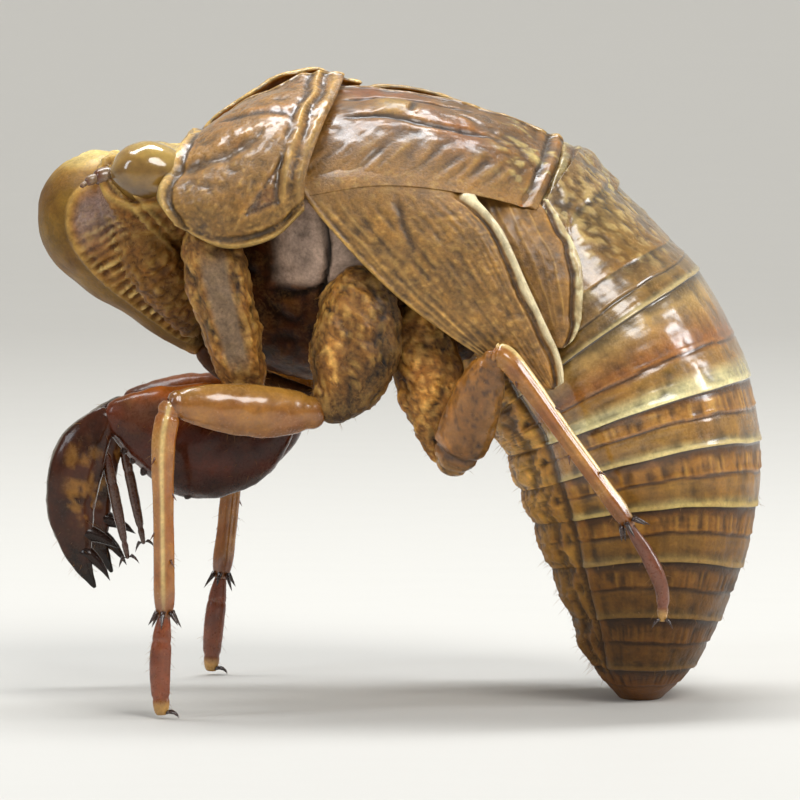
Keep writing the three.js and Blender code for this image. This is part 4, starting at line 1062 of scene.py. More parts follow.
def build_head():
    parts = [
        ellipsoid([-10.0, 0, 20.8], [2.9, 4.95, 2.35]),
        # back of the head, close under the front shield's edge
        ellipsoid([-8.7, 0, 20.95], [1.7, 5.2, 2.25]),
        limb(FACE_P, FACE_R, FACE_Y, 64, 64)[:2],
    ]
    for s in (-1, 1):
        # brow ridge in front of the eye, cheek, and the seat of the eye
        parts.append(limb([[-11.9, 2.3 * s, 22.5], [-12.0, 3.3 * s, 22.0], [-11.6, 4.1 * s, 21.0], [-10.9, 4.4 * s, 19.9]], [0.5, 0.55, 0.5, 0.4], [0.5, 0.55, 0.5, 0.4], 20, 24)[:2])
        parts.append(limb([[-11.0, 2.9 * s, 20.2], [-10.2, 3.0 * s, 18.6], [-9.3, 2.3 * s, 16.9], [-8.5, 1.3 * s, 15.2]], [1.3, 1.35, 1.1, 0.6], [1.1, 1.1, 0.9, 0.5], 28, 28)[:2])
        parts.append(ellipsoid(EYES[s] + [0.25, -0.3 * s, -0.15], EYE_R * 1.02, 32, 20))
    me = remeshed(parts, 0.112, 7)
    P, N = points_normals(me)
    f, run, dist = along_line(P, FACE_P)
    rr = curve(np.stack([FACE_R, FACE_Y], 1), f)
    y = np.abs(P[:, 1])
    wide = np.maximum(rr[:, 1], 0.3)
    on_face = smooth(1.35, 1.08, dist / np.maximum(rr.max(1), 0.4)) * smooth(-9.2, -10.4, P[:, 0] + 0.35 * (P[:, 2] - 20.0)) * smooth(0.03, 0.1, f)
    strip = (1.0 - smooth(0.78, 0.83, y / wide)) * smooth(0.98, 0.85, f)
    # rows of short ridges across each side of the swollen face
    rib = np.sin(2 * np.pi * (run / 0.37) + 1.2 * noise(P, 0.8, 5))
    bead = 0.55 + 0.45 * np.sin(2 * np.pi * y / 0.62 + 2.0 * noise(P, 0.9, 4))
    ribs = on_face * smooth(0.82, 0.88, y / wide) * smooth(0.16, 0.30, f)
    rise = 0.15 * rib * bead * ribs
    rise += 0.13 * on_face * bell(y / wide, 0.82, 0.03) * smooth(0.05, 0.15, f) * smooth(0.98, 0.8, f)
    lower = smooth(21.2, 20.2, P[:, 2]) * (1 - strip)
    rough_zone = np.clip(lower * (1 - 0.5 * on_face), 0, 1)
    lump = crease(P, 1.9, 6, 3)
    sc = np.sin(2 * np.pi * (run / 0.5) + 2.5 * noise(P, 1.1, 7))
    rise += rough_zone * (0.20 * (lump - 0.33) + 0.05 * sc)
    # two parallel ridges from the feeler's socket back along the cheek
    e1 = P[:, 2] - (21.4 - 1.05 * (P[:, 0] + 11.7))
    edge = (bell(e1, 0.0, 0.13) + bell(e1, 0.62, 0.12)) * smooth(2.6, 3.2, y) * smooth(-12.3, -11.9, P[:, 0]) * smooth(-9.0, -9.8, P[:, 0])
    rise += 0.16 * edge - 0.10 * bell(e1, 0.31, 0.12) * smooth(2.6, 3.2, y)
    rise += 0.05 * fbm(P, 0.6, 8, 3)
    top = smooth(22.0, 22.7, P[:, 2]) * smooth(3.9, 2.6, y)
    rise += top * (0.10 * (crease(P, 1.1, 9, 2) - 0.3) - 0.12 * bell(y, 0.0, 0.16))
    eye_d = np.minimum(*[np.linalg.norm((P - EYES[s]) / EYE_R, axis=1) for s in (-1, 1)])
    rise -= 0.16 * bell(eye_d, 1.10, 0.07)
    rise += 0.10 * bell(eye_d, 1.26, 0.07)
    sock = np.minimum(*[np.linalg.norm(P - [-11.9, 3.72 * s, 21.45], axis=1) for s in (-1, 1)])
    rise -= 0.30 * bell(sock, 0.0, 0.3)
    P = P + N * rise[:, None]
    tan, olive, redb, dark, pale = lin(158, 112, 54), lin(158, 124, 60), lin(140, 84, 36), lin(66, 36, 15), lin(232, 214, 158)
    col = mixc(np.broadcast_to(tan, P.shape), redb, np.clip(0.55 + 0.9 * fbm(P, 0.8, 10, 3), 0, 1) * 0.85)
    col = mixc(col, mixc(np.broadcast_to(olive, P.shape), lin(136, 98, 46), np.clip(0.5 + fbm(P, 0.7, 17, 3), 0, 1)), np.clip(strip * on_face * 1.3, 0, 0.95))
    col = mixc(col, lin(226, 196, 136), ribs * smooth(0.1, 0.8, rib) * bead * 0.9)
    col = mixc(col, dark, ribs * smooth(0.1, 0.8, -rib) * 0.75)
    grey = on_face * smooth(0.83, 0.9, y / wide) * bell(f, 0.2, 0.09)
    col = mixc(col, lin(142, 122, 130), np.clip(grey, 0, 0.8))
    col = mixc(col, lin(182, 146, 86), 0.75 * on_face * bell(y / wide, 0.82, 0.025) * smooth(0.05, 0.15, f))
    # painted shade in the creases of the rough lower head and painted light on its lumps
    col = mixc(col, dark, rough_zone * smooth(0.3, 0.12, lump) * 0.75)
    col = mixc(col, lin(190, 152, 90), rough_zone * smooth(0.38, 0.6, lump) * 0.7)
    col = mixc(col, lin(192, 158, 98), np.clip(edge, 0, 0.85))
    col = mixc(col, pale, 0.9 * np.clip(top * (0.7 + 0.5 * fbm(P, 1.0, 18, 3)), 0, 1))
    col = mixc(col, lin(190, 158, 96), 0.7 * bell(eye_d, 1.28, 0.08))
    col = mixc(col, dark, 0.8 * bell(eye_d, 1.10, 0.06))
    col = mixc(col, lin(64, 20, 10), 0.95 * bell(sock, 0.0, 0.3))
    # the face's middle strip is darkened below its top: partly its own darker olive, partly painted shade
    col = col * (1 - (strip * on_face * smooth(22.4, 21.4, P[:, 2]))[:, None] * [0.45, 0.5, 0.64])
    # painted shade: the lower cheeks off the face are darkened, and the back of the head is darkened where it goes in
    # under the front shield's edge
    col = col * (1 - 0.3 * rough_zone * (1 - on_face))[:, None]
    col = col * (1.1 - 0.6 * smooth(-8.9, -8.2, P[:, 0]))[:, None]
    gloss = 0.32 + 0.14 * rough_zone + 0.16 * strip * on_face - 0.1 * top - 0.1 * np.clip(grey, 0, 1) + 0.06 * fbm(P, 1.2, 12, 3)
    dust = np.clip(0.15 + 0.6 * rough_zone + 0.3 * fbm(P, 0.6, 13, 2) - 0.3 * top, 0, 1)
    me.vertices.foreach_set("co", ((P + SHIFT) * MM).astype(np.float32).ravel())
    me.polygons.foreach_set("use_smooth", np.ones(len(me.polygons), bool))
    me.update()
    for a in list(me.attributes):
        if a.name in ("tint", "gloss", "dust"):
            me.attributes.remove(a)
    paint(me, col, gloss, dust)
    me.name = "head"
    ob = bpy.data.objects.new("head", me)
    bpy.context.scene.collection.objects.link(ob)
    me.materials.clear()
    me.materials.append(M_HEAD)
    own(ob, "head")
    add_hairs(P, N, ribs + rough_zone, 700, 0.26, 0.008, [-0.1, 0, -0.6], 905)
    # clear eye caps
    for s in (-1, 1):
        c, fs = ellipsoid(EYES[s], EYE_R, 64, 40)
        d = c - EYES[s]
        c = c + d * (0.03 * fbm(c, 0.7, 14, 2) + 0.012 * noise(c, 2.0, 19))[:, None]
        k = mixc(np.broadcast_to(lin(166, 130, 68), c.shape), lin(116, 84, 42), np.clip(0.5 + 1.1 * fbm(c, 0.8, 15, 3), 0, 1))
        # painted light on the upper side of each eye and painted shade on its lower side
        k = mixc(k, lin(190, 160, 96), smooth(0.3, 1.2, d[:, 2] + 0.5 * d[:, 0]) * 0.8)
        k = mixc(k, lin(84, 60, 34), smooth(0.1, 0.9, -d[:, 2] - 0.4 * d[:, 0]) * 0.6)
        nm = "eye_left" if s < 0 else "eye_right"
        own(write_mesh(nm, c, fs, k, 0.14 + 0.05 * fbm(c, 1.5, 16, 2), 0.05, M_EYE), "head")


build_head()


# ------------------------------------------------------------------------- legs
LEGS = {
    "foreleg": {
        "coxa": ([[-7.9, -4.9, 20.2], [-7.6, -5.1, 18.4], [-7.1, -5.25, 16.3], [-6.6, -5.25, 14.4], [-6.2, -5.15, 12.9]], [1.3, 1.35, 1.2, 1.05, 0.8], [1.1, 1.35, 1.25, 1.05, 0.75]),
        "femur": ([[-4.5, -4.9, 11.9], [-6.2, -4.9, 11.1], [-8.2, -4.95, 11.15], [-10.3, -5.0, 11.75], [-12.1, -5.05, 12.3]], [0.8, 1.75, 2.35, 1.75, 0.75], [0.7, 1.1, 1.25, 1.05, 0.65]),
        "tibia": ([[-11.9, -5.05, 12.3], [-13.0, -5.05, 10.8], [-13.5, -5.0, 8.9], [-13.45, -4.95, 7.5], [-13.15, -4.9, 6.2], [-12.55, -4.85, 5.0]], [0.7, 1.15, 1.08, 0.86, 0.52, 0.1], [0.55, 0.75, 0.66, 0.46, 0.3, 0.1]),
        "tarsus": ([[-12.1, -4.95, 10.6], [-11.65, -4.9, 8.4], [-11.2, -4.8, 6.2]], [0.24, 0.22, 0.14], [0.22, 0.2, 0.14]),
    },
    "midleg": {
        "coxa": ([[-1.3, -5.5, 18.2], [-1.6, -5.95, 16.6], [-1.85, -6.25, 14.9], [-2.35, -6.5, 13.4], [-3.3, -6.8, 12.2]], [1.3, 1.75, 1.85, 1.55, 0.85], [0.95, 1.3, 1.4, 1.2, 0.75]),
        "femur": ([[-3.1, -6.75, 12.35], [-5.3, -7.3, 12.45], [-7.3, -7.8, 12.65], [-9.45, -8.3, 12.85]], [0.85, 1.06, 1.0, 0.72], [0.75, 0.95, 0.88, 0.6]),
        "tibia": ([[-9.3, -8.3, 12.95], [-9.62, -8.4, 11.2], [-9.62, -8.5, 8.0], [-9.58, -8.6, 4.1]], [0.56, 0.47, 0.4, 0.5], [0.46, 0.4, 0.36, 0.44]),
        "tarsus": ([[-9.58, -8.6, 4.3], [-9.72, -8.63, 3.0], [-9.78, -8.66, 1.6], [-9.7, -8.75, 0.15]], [0.34, 0.42, 0.43, 0.4], [0.26, 0.3, 0.3, 0.3]),
    },
    "hindleg": {
        "coxa": ([[0.6, -4.8, 16.9], [1.0, -5.1, 14.6], [1.45, -5.3, 12.4], [2.0, -5.55, 10.2]], [1.15, 1.45, 1.25, 0.75], [1.0, 1.2, 1.0, 0.65]),
        "femur": ([[1.95, -5.5, 9.9], [2.6, -6.6, 11.3], [3.25, -7.85, 13.3], [3.95, -8.95, 14.95]], [0.8, 1.15, 1.0, 0.62], [0.65, 0.88, 0.76, 0.5]),
        "tibia": ([[3.75, -8.85, 14.95], [4.6, -9.05, 14.45], [6.9, -8.7, 11.3], [9.42, -8.18, 7.8]], [0.55, 0.44, 0.34, 0.42], [0.45, 0.4, 0.32, 0.38]),
        "tarsus": ([[9.3, -8.2, 7.9], [10.15, -8.08, 6.5], [10.68, -7.95, 5.2], [10.7, -7.85, 3.9]], [0.26, 0.32, 0.3, 0.24], [0.24, 0.28, 0.27, 0.22]),
    },
}
RIGHT_MID = {
    "femur": [[-3.1, -6.75, 12.35], [-4.4, -7.45, 12.5], [-5.8, -8.1, 12.75], [-7.25, -8.62, 12.95]],
    "tibia": [[-7.05, -8.55, 13.0], [-7.2, -8.72, 11.2], [-7.25, -8.75, 8.0], [-7.68, -8.7, 4.1]],
    "tarsus": [[-7.66, -8.7, 4.3], [-7.86, -8.7, 3.0], [-8.02, -8.7, 1.6], [-8.1, -8.75, 0.15]],
}
NUDGE = {"foreleg": [0.35, 0.1, -0.25]}
SQUARE = {"coxa": 0.82}


def leg_paint(leg, part, P, S, A, seed, side):
    n1, n2 = fbm(P, 0.9, seed, 3), fbm(P, 3.0, seed + 1, 3)
    out, rear = np.sin(A) * side, np.cos(A)
    if part == "coxa":
        sc = crease(P * [1.0, 1.0, 0.8], 2.6, seed + 7, 2)
        # pale on the crests and dark in the creases of the coxa's wrinkles: painted light and painted shade
        col = mixc(np.broadcast_to(lin(138, 92, 42), P.shape), lin(188, 146, 86), smooth(0.25, 0.6, sc) * 0.8)
        col = mixc(col, lin(76, 44, 19), smooth(0.18, 0.03, sc) * 0.7)
        col = mixc(col, lin(104, 58, 24), np.clip(0.9 * n1, 0, 0.7))
        face = smooth(0.55, 0.8, out) * smooth(-0.5, -0.3, rear) * smooth(0.45, 0.25, rear) * smooth(0.15, 0.3, S) * smooth(0.85, 0.7, S) * (leg == "foreleg")
        col = mixc(col, lin(122, 102, 92), face * 0.9)
        fold = crease(P * [1.0, 1.0, 0.5], 0.7, seed + 8, 2)
        # painted shade in the creases of the large folds and the wrinkles and painted light on the folds' crests,
        # outside the grey face
        col = col * (1 - (1 - face) * (0.7 * smooth(0.24, 0.05, fold) + 0.35 * smooth(0.3, 0.1, sc)) + 0.55 * (1 - face) * smooth(0.36, 0.62, fold))[:, None]
        if leg == "hindleg":
            col = col * 1.4
        if leg == "midleg":
            # painted light and shade: the middle coxa is lighter on one side, darker on the other and towards its lower
            # end
            col = col * (0.55 + 0.65 * smooth(-0.45, 0.5, -rear) - 0.3 * smooth(0.55, 0.95, S))[:, None]
        return col, 0.46 + 0.1 * n1 - 0.12 * face, np.clip(0.6 + 0.5 * n1 - 0.7 * face, 0, 1)
    if leg == "foreleg" and part in ("femur", "tibia"):
        if part == "femur":
            col = mixc(np.broadcast_to(lin(98, 46, 22), P.shape), lin(60, 26, 16), np.clip(0.5 + 0.9 * n1, 0, 1))
            col = mixc(col, lin(158, 98, 42), 0.75 * smooth(12.4, 13.3, P[:, 2]))
            # painted sheen: a grey-violet patch stands for the femur's glossy reflection; painted shade: its lower side
            # is darkened
            col = mixc(col, lin(94, 74, 72), 0.6 * bell(P[:, 0], -10.4, 1.2) * bell(P[:, 2], 12.3, 0.7))
            col = mixc(col, lin(50, 22, 15), 0.7 * smooth(10.4, 9.2, P[:, 2])) * (0.5 + 0.5 * smooth(11.2, 13.2, P[:, 2]))[:, None] * [1.25, 0.92, 0.6]
            return col, 0.28 + 0.06 * n1, np.clip(0.06 + 0.2 * n1, 0, 1)
        col = mixc(np.broadcast_to(lin(72, 34, 18), P.shape), lin(32, 16, 11), np.clip(0.5 + 0.9 * n1, 0, 1))
        gold = smooth(0.0, 0.3, fbm(P, 1.8, seed + 4, 3)) * smooth(0.1, 0.3, S) * smooth(0.62, 0.5, S) * smooth(-14.0, -13.4, P[:, 0])
        col = mixc(col, lin(150, 104, 52), 0.7 * gold)
        col = mixc(col, lin(20, 13, 12), smooth(0.7, 0.95, S))
        # painted highlight: a pale blue-grey line along the outer edge
        col = mixc(col, lin(150, 146, 150), 0.6 * smooth(-0.86, -0.98, rear))
        return col, 0.2 + 0.06 * n1 + 0.15 * gold, np.clip(0.05 + 0.2 * n1 + 0.5 * gold, 0, 1)
    if part == "femur":
        col = mixc(np.broadcast_to(lin(162, 108, 44), P.shape), lin(132, 78, 28), np.clip(0.5 + 0.9 * n1, 0, 1))
        # painted light: the femur is lighter along one side, the upper side of the middle femur
        col = mixc(col, lin(184, 140, 74), 0.5 * smooth(0.2, 0.9, -rear))
        col = mixc(col, lin(98, 50, 18), 0.7 * smooth(0.9, 1.0, S) + 0.6 * smooth(0.14, 0.0, S))
        if leg == "hindleg":
            col = mixc(col, lin(146, 96, 42), 0.7)
            col = mixc(col, lin(70, 40, 18), 0.8 * bell(S, 0.24, 0.025))
            col = mixc(col, lin(184, 140, 80), 0.5 * smooth(0.22, 0.1, S))
            col = mixc(col, lin(58, 32, 14), smooth(0.2, 0.45, -n2) * 0.7)
            wr = crease(P, 1.5, seed + 9, 2)
            # painted shade in the wrinkles' creases and painted light on their crests
            col = col * (1 - 0.55 * smooth(0.2, 0.04, wr) + 0.3 * smooth(0.4, 0.65, wr))[:, None]
            # painted light and shade: lighter on the upper front side, darker on the other
            col = col * (0.72 + 0.6 * smooth(0.0, 0.85, rear))[:, None]
            return col, 0.34 + 0.08 * n1, np.clip(0.12 + 0.3 * n1, 0, 1)
        return col, 0.2 + 0.05 * n1, np.clip(0.08 + 0.3 * n1, 0, 1)
    if part == "tibia":
        col = mixc(np.broadcast_to(lin(150, 88, 34), P.shape), lin(184, 130, 66), np.clip(0.4 + 0.9 * n1, 0, 1))
        # painted highlight: a pale line along each middle and hind tibia
        col = mixc(col, lin(240, 214, 164), 0.8 * np.clip(bell(rear, -0.1, 0.2) * smooth(0.2, 0.6, out) * (leg == "midleg") + smooth(0.7, 0.95, rear) * (leg == "hindleg"), 0, 1))
        col = mixc(col, lin(108, 52, 20), smooth(0.85, 1.0, S) * 0.8 + 0.35 * smooth(0.1, 0.0, S))
        return col, 0.2 + 0.05 * n1, np.clip(0.08 + 0.2 * n1, 0, 1)
    col = mixc(np.broadcast_to(lin(134, 64, 26), P.shape), lin(100, 44, 18), np.clip(0.5 + 0.9 * n1, 0, 1))
    if leg == "hindleg":
        col = mixc(col, lin(104, 58, 42), 0.7)
    if leg == "foreleg":
        col = mixc(col, lin(50, 26, 16), 0.8)
        return col, 0.25 + 0.05 * n1, np.clip(0.08 + 0.2 * n1, 0, 1)
    col = mixc(col, lin(190, 146, 84), smooth(0.84, 0.93, S) * 0.85)
    return col, 0.3 + 0.05 * n1, np.clip(0.08 + 0.2 * n1, 0, 1)


def leg_rise(leg, part, seed, side):
    def rise(P, S, A):
        big, small = fbm(P, 0.8, seed + 5, 3), fbm(P, 2.8, seed + 6, 3)
        out, rear = np.sin(A) * side, np.cos(A)
        if part == "coxa":
            sc = crease(P * [1.0, 1.0, 0.8], 2.6, seed + 7, 2)
            face = smooth(0.55, 0.8, out) * smooth(-0.5, -0.3, rear) * smooth(0.45, 0.25, rear) * smooth(0.15, 0.3, S) * smooth(0.85, 0.7, S) * (leg == "foreleg")
            fold = crease(P * [1.0, 1.0, 0.5], 0.7, seed + 8, 2)
            return 0.16 * big + 0.16 * (sc - 0.3) * (1 - 0.85 * face) + 0.3 * (fold - 0.3) * (1 - face) - 0.14 * face
        if leg == "foreleg" and part == "femur":
            return 0.10 * big + 0.03 * small + 0.16 * bell(np.cos(A - 0.35), 1.0, 0.08) * smooth(0.1, 0.3, S)
        if leg == "foreleg" and part == "tibia":
            pit = smooth(0.1, 0.5, fbm(P, 1.8, seed + 4, 3)) * smooth(0.1, 0.3, S) * smooth(0.62, 0.5, S) * smooth(-14.0, -13.4, P[..., 0])
            return 0.06 * big + 0.03 * small - 0.10 * pit + 0.06 * bell(out, 0.45, 0.12)
        if part == "femur":
            extra = 0.12 * (crease(P, 1.5, seed + 9, 2) - 0.3) - 0.16 * bell(S, 0.24, 0.03) if leg == "hindleg" else 0.0
            return 0.06 * big + 0.02 * small + extra - 0.07 * bell(S, 0.1, 0.03) - 0.08 * bell(S, 0.93, 0.02) + 0.05 * bell(out, 0.3, 0.1) * smooth(0.1, 0.3, S) * smooth(0.95, 0.8, S)
        if part == "tibia":
            return 0.03 * big + 0.04 * np.cos(4 * A) + 0.05 * bell(S, 0.93, 0.05) - 0.08 * bell(S, 0.12, 0.02) + 0.05 * bell(S, 0.05, 0.04)
        return 0.025 * big - 0.03 * bell(S, 0.3, 0.02) - 0.05 * bell(S, 0.84, 0.02)

    return rise


def thorn(base, tip, r, colour, bend=None, sides=7):
    base = np.asarray(base, float)
    c, fs = cone(base, tip, r, bend, sides)
    ax = np.asarray(tip, float) - base
    out = []
    for f in fs:
        m = c[f].mean(1)
        t = ((m - base) @ ax / (ax @ ax))[:, None]
        n = np.cross(c[f[:, 1]] - c[f[:, 0]], c[f[:, 2]] - c[f[:, 0]])
        good = np.einsum("ij,ij->i", n, m - (base + t * ax)).sum() > 0
        out.append(f if good else f[:, ::-1])
    # closed at its root
    ring = np.arange(1, sides - 1)
    root = np.stack([np.zeros(sides - 2, int), ring, ring + 1], 1)
    n = np.cross(c[1] - c[0], c[2] - c[0])
    out.append(root if np.dot(n, ax) < 0 else root[:, ::-1])
    return c, out, np.asarray(colour), 0.25, 0.0


DARK = lin(46, 22, 12)


def build_legs():
    seed = 200
    for leg, partsd in LEGS.items():
        for side in (-1, 1):
            for part, (p, r, ry) in partsd.items():
                seed += 11
                p = np.array(p, float)
                if side > 0 and leg == "midleg" and part in RIGHT_MID:
                    p = np.array(RIGHT_MID[part], float)
                if side > 0:
                    p[:, 1] *= -1
                    if part != "coxa":
                        p += np.array(NUDGE.get(leg, [0, 0, 0]))
                fine, long = (82, 94) if part == "coxa" else (56, 72) if part == "femur" else (36, 64)
                floor = 0.0 if leg == "midleg" and part == "tarsus" else None
                co, fs, S, A = limb(p, r, ry, fine, long, 0.38, leg_rise(leg, part, seed, side), floor, SQUARE.get(part, 1.0))
                col, gloss, dust = leg_paint(leg, part, co, S, A, seed, side)
                bits = [(co, fs, col, gloss, dust)]
                L = curve(p, np.linspace(0, 1, 41))
                ys = np.array([0, 1.0 * side, 0])
                mid = curve(p, S)
                nrm = co - mid
                nrm /= np.linalg.norm(nrm, axis=1, keepdims=True) + 1e-9
                if part in ("tibia", "femur", "tarsus") and not (leg == "foreleg" and part == "tarsus"):
                    add_hairs(co, nrm, (S > 0.08) * (S < 0.95) * 1.0, 60, 0.34, 0.008, (L[-1] - L[0]) / np.linalg.norm(L[-1] - L[0]) * 0.8, seed + 3)
                if part == "coxa":
                    add_hairs(co, nrm, (S > 0.2) * (S < 0.95) * 1.0, 110, 0.28, 0.008, [0, 0, -0.6], seed + 3)
                if part == "tibia" and leg != "foreleg":
                    end, d = L[-1], L[-1] - L[-4]
                    d /= np.linalg.norm(d)
                    a1 = np.cross(d, ys)
                    a1 /= np.linalg.norm(a1)
                    for k, ang in enumerate(np.linspace(0, 2 * np.pi, 6, endpoint=False) + 0.35):
                        o = np.cos(ang) * a1 + np.sin(ang) * ys
                        base = end - d * 0.28 + o * 0.32
                        bits.append(thorn(base, base + d * (0.55 + 0.16 * (k % 2)) + o * 0.4, 0.12, DARK))
                    for q, ang in ((16, 0.5), (22, 2.9), (28, 0.2), (32, 2.5)):
                        o = np.cos(ang) * a1 + np.sin(ang) * ys
                        base = L[q] + o * 0.34
                        bits.append(thorn(base, base + d * 0.36 + o * 0.24, 0.06, lin(92, 48, 22)))
                if part == "tarsus":
                    end, d = L[-1], L[-1] - L[-5]
                    d /= np.linalg.norm(d)
                    a1 = np.cross(d, ys)
                    a1 /= np.linalg.norm(a1)
                    for k in (-1, 1):
                        base = end - d * 0.12 + a1 * 0.14 * k + ys * 0.1
                        tip = base + d * 0.42 + a1 * 0.3 * k + ys * 0.1
                        bow = ys * 0.06 + np.array([0, 0, 0.08])
                        if leg == "midleg":
                            base = end + np.array([0.2, 0.14 * k, 0.14])
                            tip = end + np.array([0.72, 0.26 * k, -0.12])
                            bow = np.array([0.05, 0, 0.1])
                            tip[2] = 0.03
                        bits.append(thorn(base, tip, 0.1, DARK, bend=bow))
                if leg == "foreleg" and part == "femur":
                    # toothed lower edge of the digging leg
                    for t, ln, w in ((0.50, 0.75, 0.36), (0.62, 1.25, 0.5), (0.72, 0.7, 0.3), (0.79, 0.5, 0.24), (0.85, 0.38, 0.2)):
                        c0 = curve(p, np.array([t]))[0]
                        rr = float(curve(np.array(r)[:, None], np.array([t]))[0, 0])
                        base = c0 + np.array([-0.12, 0, -1.0]) * rr * 0.82
                        bits.append(thorn(base, base + np.array([-0.55 * ln, 0.05, -0.75 * ln]), w, lin(40, 19, 13), bend=np.array([-0.1, 0, -0.1]), sides=12))
                if leg == "foreleg" and part == "tibia":
                    for t, dx, dz, w in ((0.62, 1.9, -0.75, 0.42), (0.74, 1.35, -1.3, 0.34), (0.5, 0.9, -0.6, 0.3)):
                        c0 = curve(p, np.array([t]))[0]
                        bits.append(thorn(c0 + [0.2, 0, 0.0], c0 + [dx, 0.02, dz], w, lin(32, 17, 13), bend=np.array([0.1, 0, 0.1]), sides=12))
                co, fs, col, gloss, dust = join(bits)
                name = f"{leg}_{'left' if side < 0 else 'right'}_{part}"
                claw = leg == "foreleg" and part in ("femur", "tibia")
                mat = M_COXA if part == "coxa" else M_CLAW if claw else M_LEG
                own(write_mesh(name, co, fs, col, gloss, dust, mat), name)


build_legs()


def build_small():
    co, fs, S, A = limb([[-8.3, 0, 14.6], [-7.2, 0, 13.7], [-5.6, 0, 13.1], [-3.2, 0, 12.6]], [0.7, 0.62, 0.55, 0.2], [0.75, 0.66, 0.6, 0.22], 36, 70, 0.38, lambda P, S, A: 0.04 * fbm(P, 1.2, 301, 3) - 0.08 * bell(S, 0.45, 0.02) - 0.08 * bell(np.cos(A), -1.0, 0.12))
    # the beak's dark brown is partly its own colour, partly painted shade of the gap between the legs where it lies
    col = mixc(np.broadcast_to(lin(74, 40, 18), co.shape), lin(44, 22, 10), smooth(0.7, 1.0, S))
    col = mixc(col, lin(70, 38, 16), 0.7 * bell(S, 0.45, 0.02))
    own(write_mesh("rostrum", co, fs, col, 0.4, 0.2, M_UNDER), "rostrum")
    for s in (-1, 1):
        bits = []
        for p, r in (([[-11.75, 3.55 * s, 21.95], [-12.15, 3.75 * s, 21.9], [-12.55, 3.95 * s, 21.85]], 0.4), ([[-12.45, 3.92 * s, 21.86], [-12.7, 4.04 * s, 21.76], [-12.9, 4.13 * s, 21.66]], 0.22), ([[-12.84, 4.1 * s, 21.68], [-13.0, 4.18 * s, 21.58], [-13.12, 4.24 * s, 21.48]], 0.11)):
            c, f, S, A = limb(p, [r, r, r * 0.85], [r, r, r * 0.85], 24, 28, 0.3)
            k = mixc(np.broadcast_to(lin(134, 108, 92), c.shape), lin(92, 46, 20), smooth(0.6, 1.0, S))
            bits.append((c, f, k, 0.26, 0.1))
        co, fs, col, gl, du = join(bits)
        name = "antenna_left" if s < 0 else "antenna_right"
        own(write_mesh(name, co, fs, col, gl, du, M_LEG), name)


build_small()


def build_hairs():
    """All the fine bristles as one mesh of slim three-sided spikes."""
    p = np.concatenate([h[0] for h in HAIRS])
    d = np.concatenate([h[1] for h in HAIRS])
    ln = np.concatenate([h[2] for h in HAIRS])[:, None]
    r = np.concatenate([h[3] for h in HAIRS])[:, None]
    a = np.cross(d, [0.31, 0.52, 0.79])
    a /= np.linalg.norm(a, axis=1, keepdims=True)
    b = np.cross(d, a)
    n = len(p)
    droop = np.array([0, 0, -0.12])
    rows = []
    for f, w in ((0.0, 1.0), (0.55, 0.7)):
        c = p + d * ln * f + droop * ln * f * f
        for ang in (0.0, 2.0944, 4.18879):
            rows.append(c + (np.cos(ang) * a + np.sin(ang) * b) * r * w)
    rows.append(p + d * ln + droop * ln)
    co = np.stack(rows, 1).reshape(-1, 3)
    co[:, 2] = np.maximum(co[:, 2], 0.01)
    o = (np.arange(n) * 7)[:, None]
    q = np.concatenate([o + [[0, 1, 4, 3]], o + [[1, 2, 5, 4]], o + [[2, 0, 3, 5]]])
    t = np.concatenate([o + [[3, 4, 6]], o + [[4, 5, 6]], o + [[5, 3, 6]], o + [[0, 2, 1]]])
    col = np.broadcast_to(lin(150, 104, 48), co.shape)
    own(write_mesh("bristles", co, [q, t], col, 0.4, 0.0, M_HAIR), None)


build_hairs()

# ------------------------------------------------------------------------ stage
me = bpy.data.meshes.new("floor")
prof = [(-2.0, 0.0), (0.25, 0.0)] + [(0.25 + 0.35 * math.sin(t), 0.35 - 0.35 * math.cos(t)) for t in np.linspace(0.1, math.pi / 2, 14)] + [(0.6, 2.5)]
co = [(x, y, z) for y, z in prof for x in (-3.0, 3.0)]
me.from_pydata(co, [], [(2 * i, 2 * i + 1, 2 * i + 3, 2 * i + 2) for i in range(len(prof) - 1)])
me.polygons.foreach_set("use_smooth", np.ones(len(me.polygons), bool))
floor = bpy.data.objects.new("floor", me)
bpy.context.scene.collection.objects.link(floor)
fm = bpy.data.materials.new("pale_floor")
fm.use_nodes = True
fb = fm.node_tree.nodes["Principled BSDF"]
ftex = _node(fm.node_tree, "ShaderNodeTexNoise")
ftex.inputs["Scale"].default_value = 900
fr = _node(fm.node_tree, "ShaderNodeMapRange")
fr.inputs["To Min"].default_value = 0.6
fr.inputs["To Max"].default_value = 0.75
fm.node_tree.links.new(ftex.outputs[0], fr.inputs["Value"])
fm.node_tree.links.new(fr.outputs["Result"], fb.inputs["Roughness"])
fb.inputs["Base Color"].default_value = (0.60, 0.585, 0.55, 1)
me.materials.append(fm)

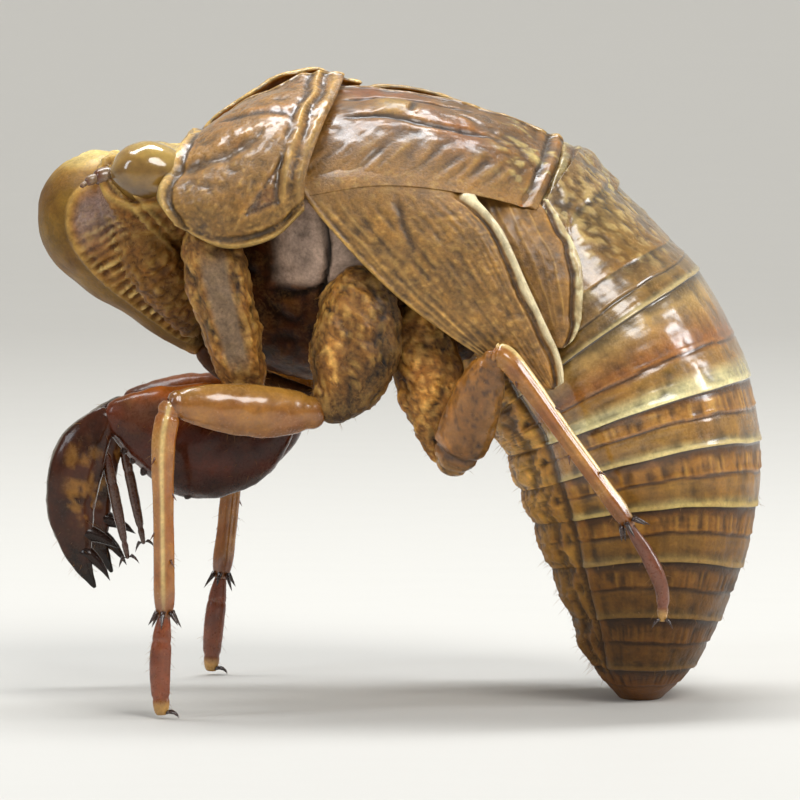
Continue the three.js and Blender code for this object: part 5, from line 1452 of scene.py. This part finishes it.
world = bpy.data.worlds.new("studio")
bpy.context.scene.world = world
world.use_nodes = True
wb = world.node_tree.nodes["Background"]
wb.inputs[0].default_value = (0.94, 0.97, 1.0, 1)
wb.inputs[1].default_value = 0.3
bpy.context.scene.view_settings.view_transform = "Standard"
bpy.context.scene.view_settings.look = "None"


def area(name, loc, target, size, power, colour):
    li = bpy.data.lights.new(name, "AREA")
    li.shape = "RECTANGLE"
    li.size, li.size_y = size
    li.energy = power
    li.color = colour
    ob = bpy.data.objects.new(name, li)
    bpy.context.scene.collection.objects.link(ob)
    ob.location = loc
    ob.rotation_euler = Vector(np.array(target) - np.array(loc)).to_track_quat("-Z", "Y").to_euler()
    return ob


from mathutils import Vector

area("top", (-0.02, 0.055, 0.22), (0, 0, 0.012), (0.20, 0.055), 0.45, (0.95, 0.975, 1.0))
area("right", (0.208, -0.02, 0.095), (0.008, 0, 0.014), (0.055, 0.075), 0.17, (0.95, 0.975, 1.0))
area("left", (-0.20, -0.12, 0.13), (-0.005, 0, 0.016), (0.05, 0.10), 0.12, (0.86, 0.93, 1.0))
li = bpy.data.lights.new("key", "SUN")
li.energy = 1.75
li.angle = math.radians(28)
li.color = (1.0, 0.985, 0.955)
key = bpy.data.objects.new("key", li)
bpy.context.scene.collection.objects.link(key)
key.rotation_euler = Vector((-0.35, 0.72, -0.75)).to_track_quat("-Z", "Y").to_euler()

# ----------------------------------------------------------------------- camera
cam = bpy.data.cameras.new("camera")
camera = bpy.data.objects.new("camera", cam)
bpy.context.scene.collection.objects.link(camera)
AZ, EL, DIST = math.radians(0), math.radians(4), 0.34
target = np.array([-0.000056, 0.0, 0.01241])
camera.location = target + DIST * np.array([math.sin(AZ) * math.cos(EL), -math.cos(AZ) * math.cos(EL), math.sin(EL)])
camera.rotation_euler = Vector(target - np.array(camera.location)).to_track_quat("-Z", "Y").to_euler()
cam.sensor_width = 36
cam.lens = 36 * DIST / 0.03335
cam.clip_start = 0.005
cam.clip_end = 20
bpy.context.scene.camera = camera
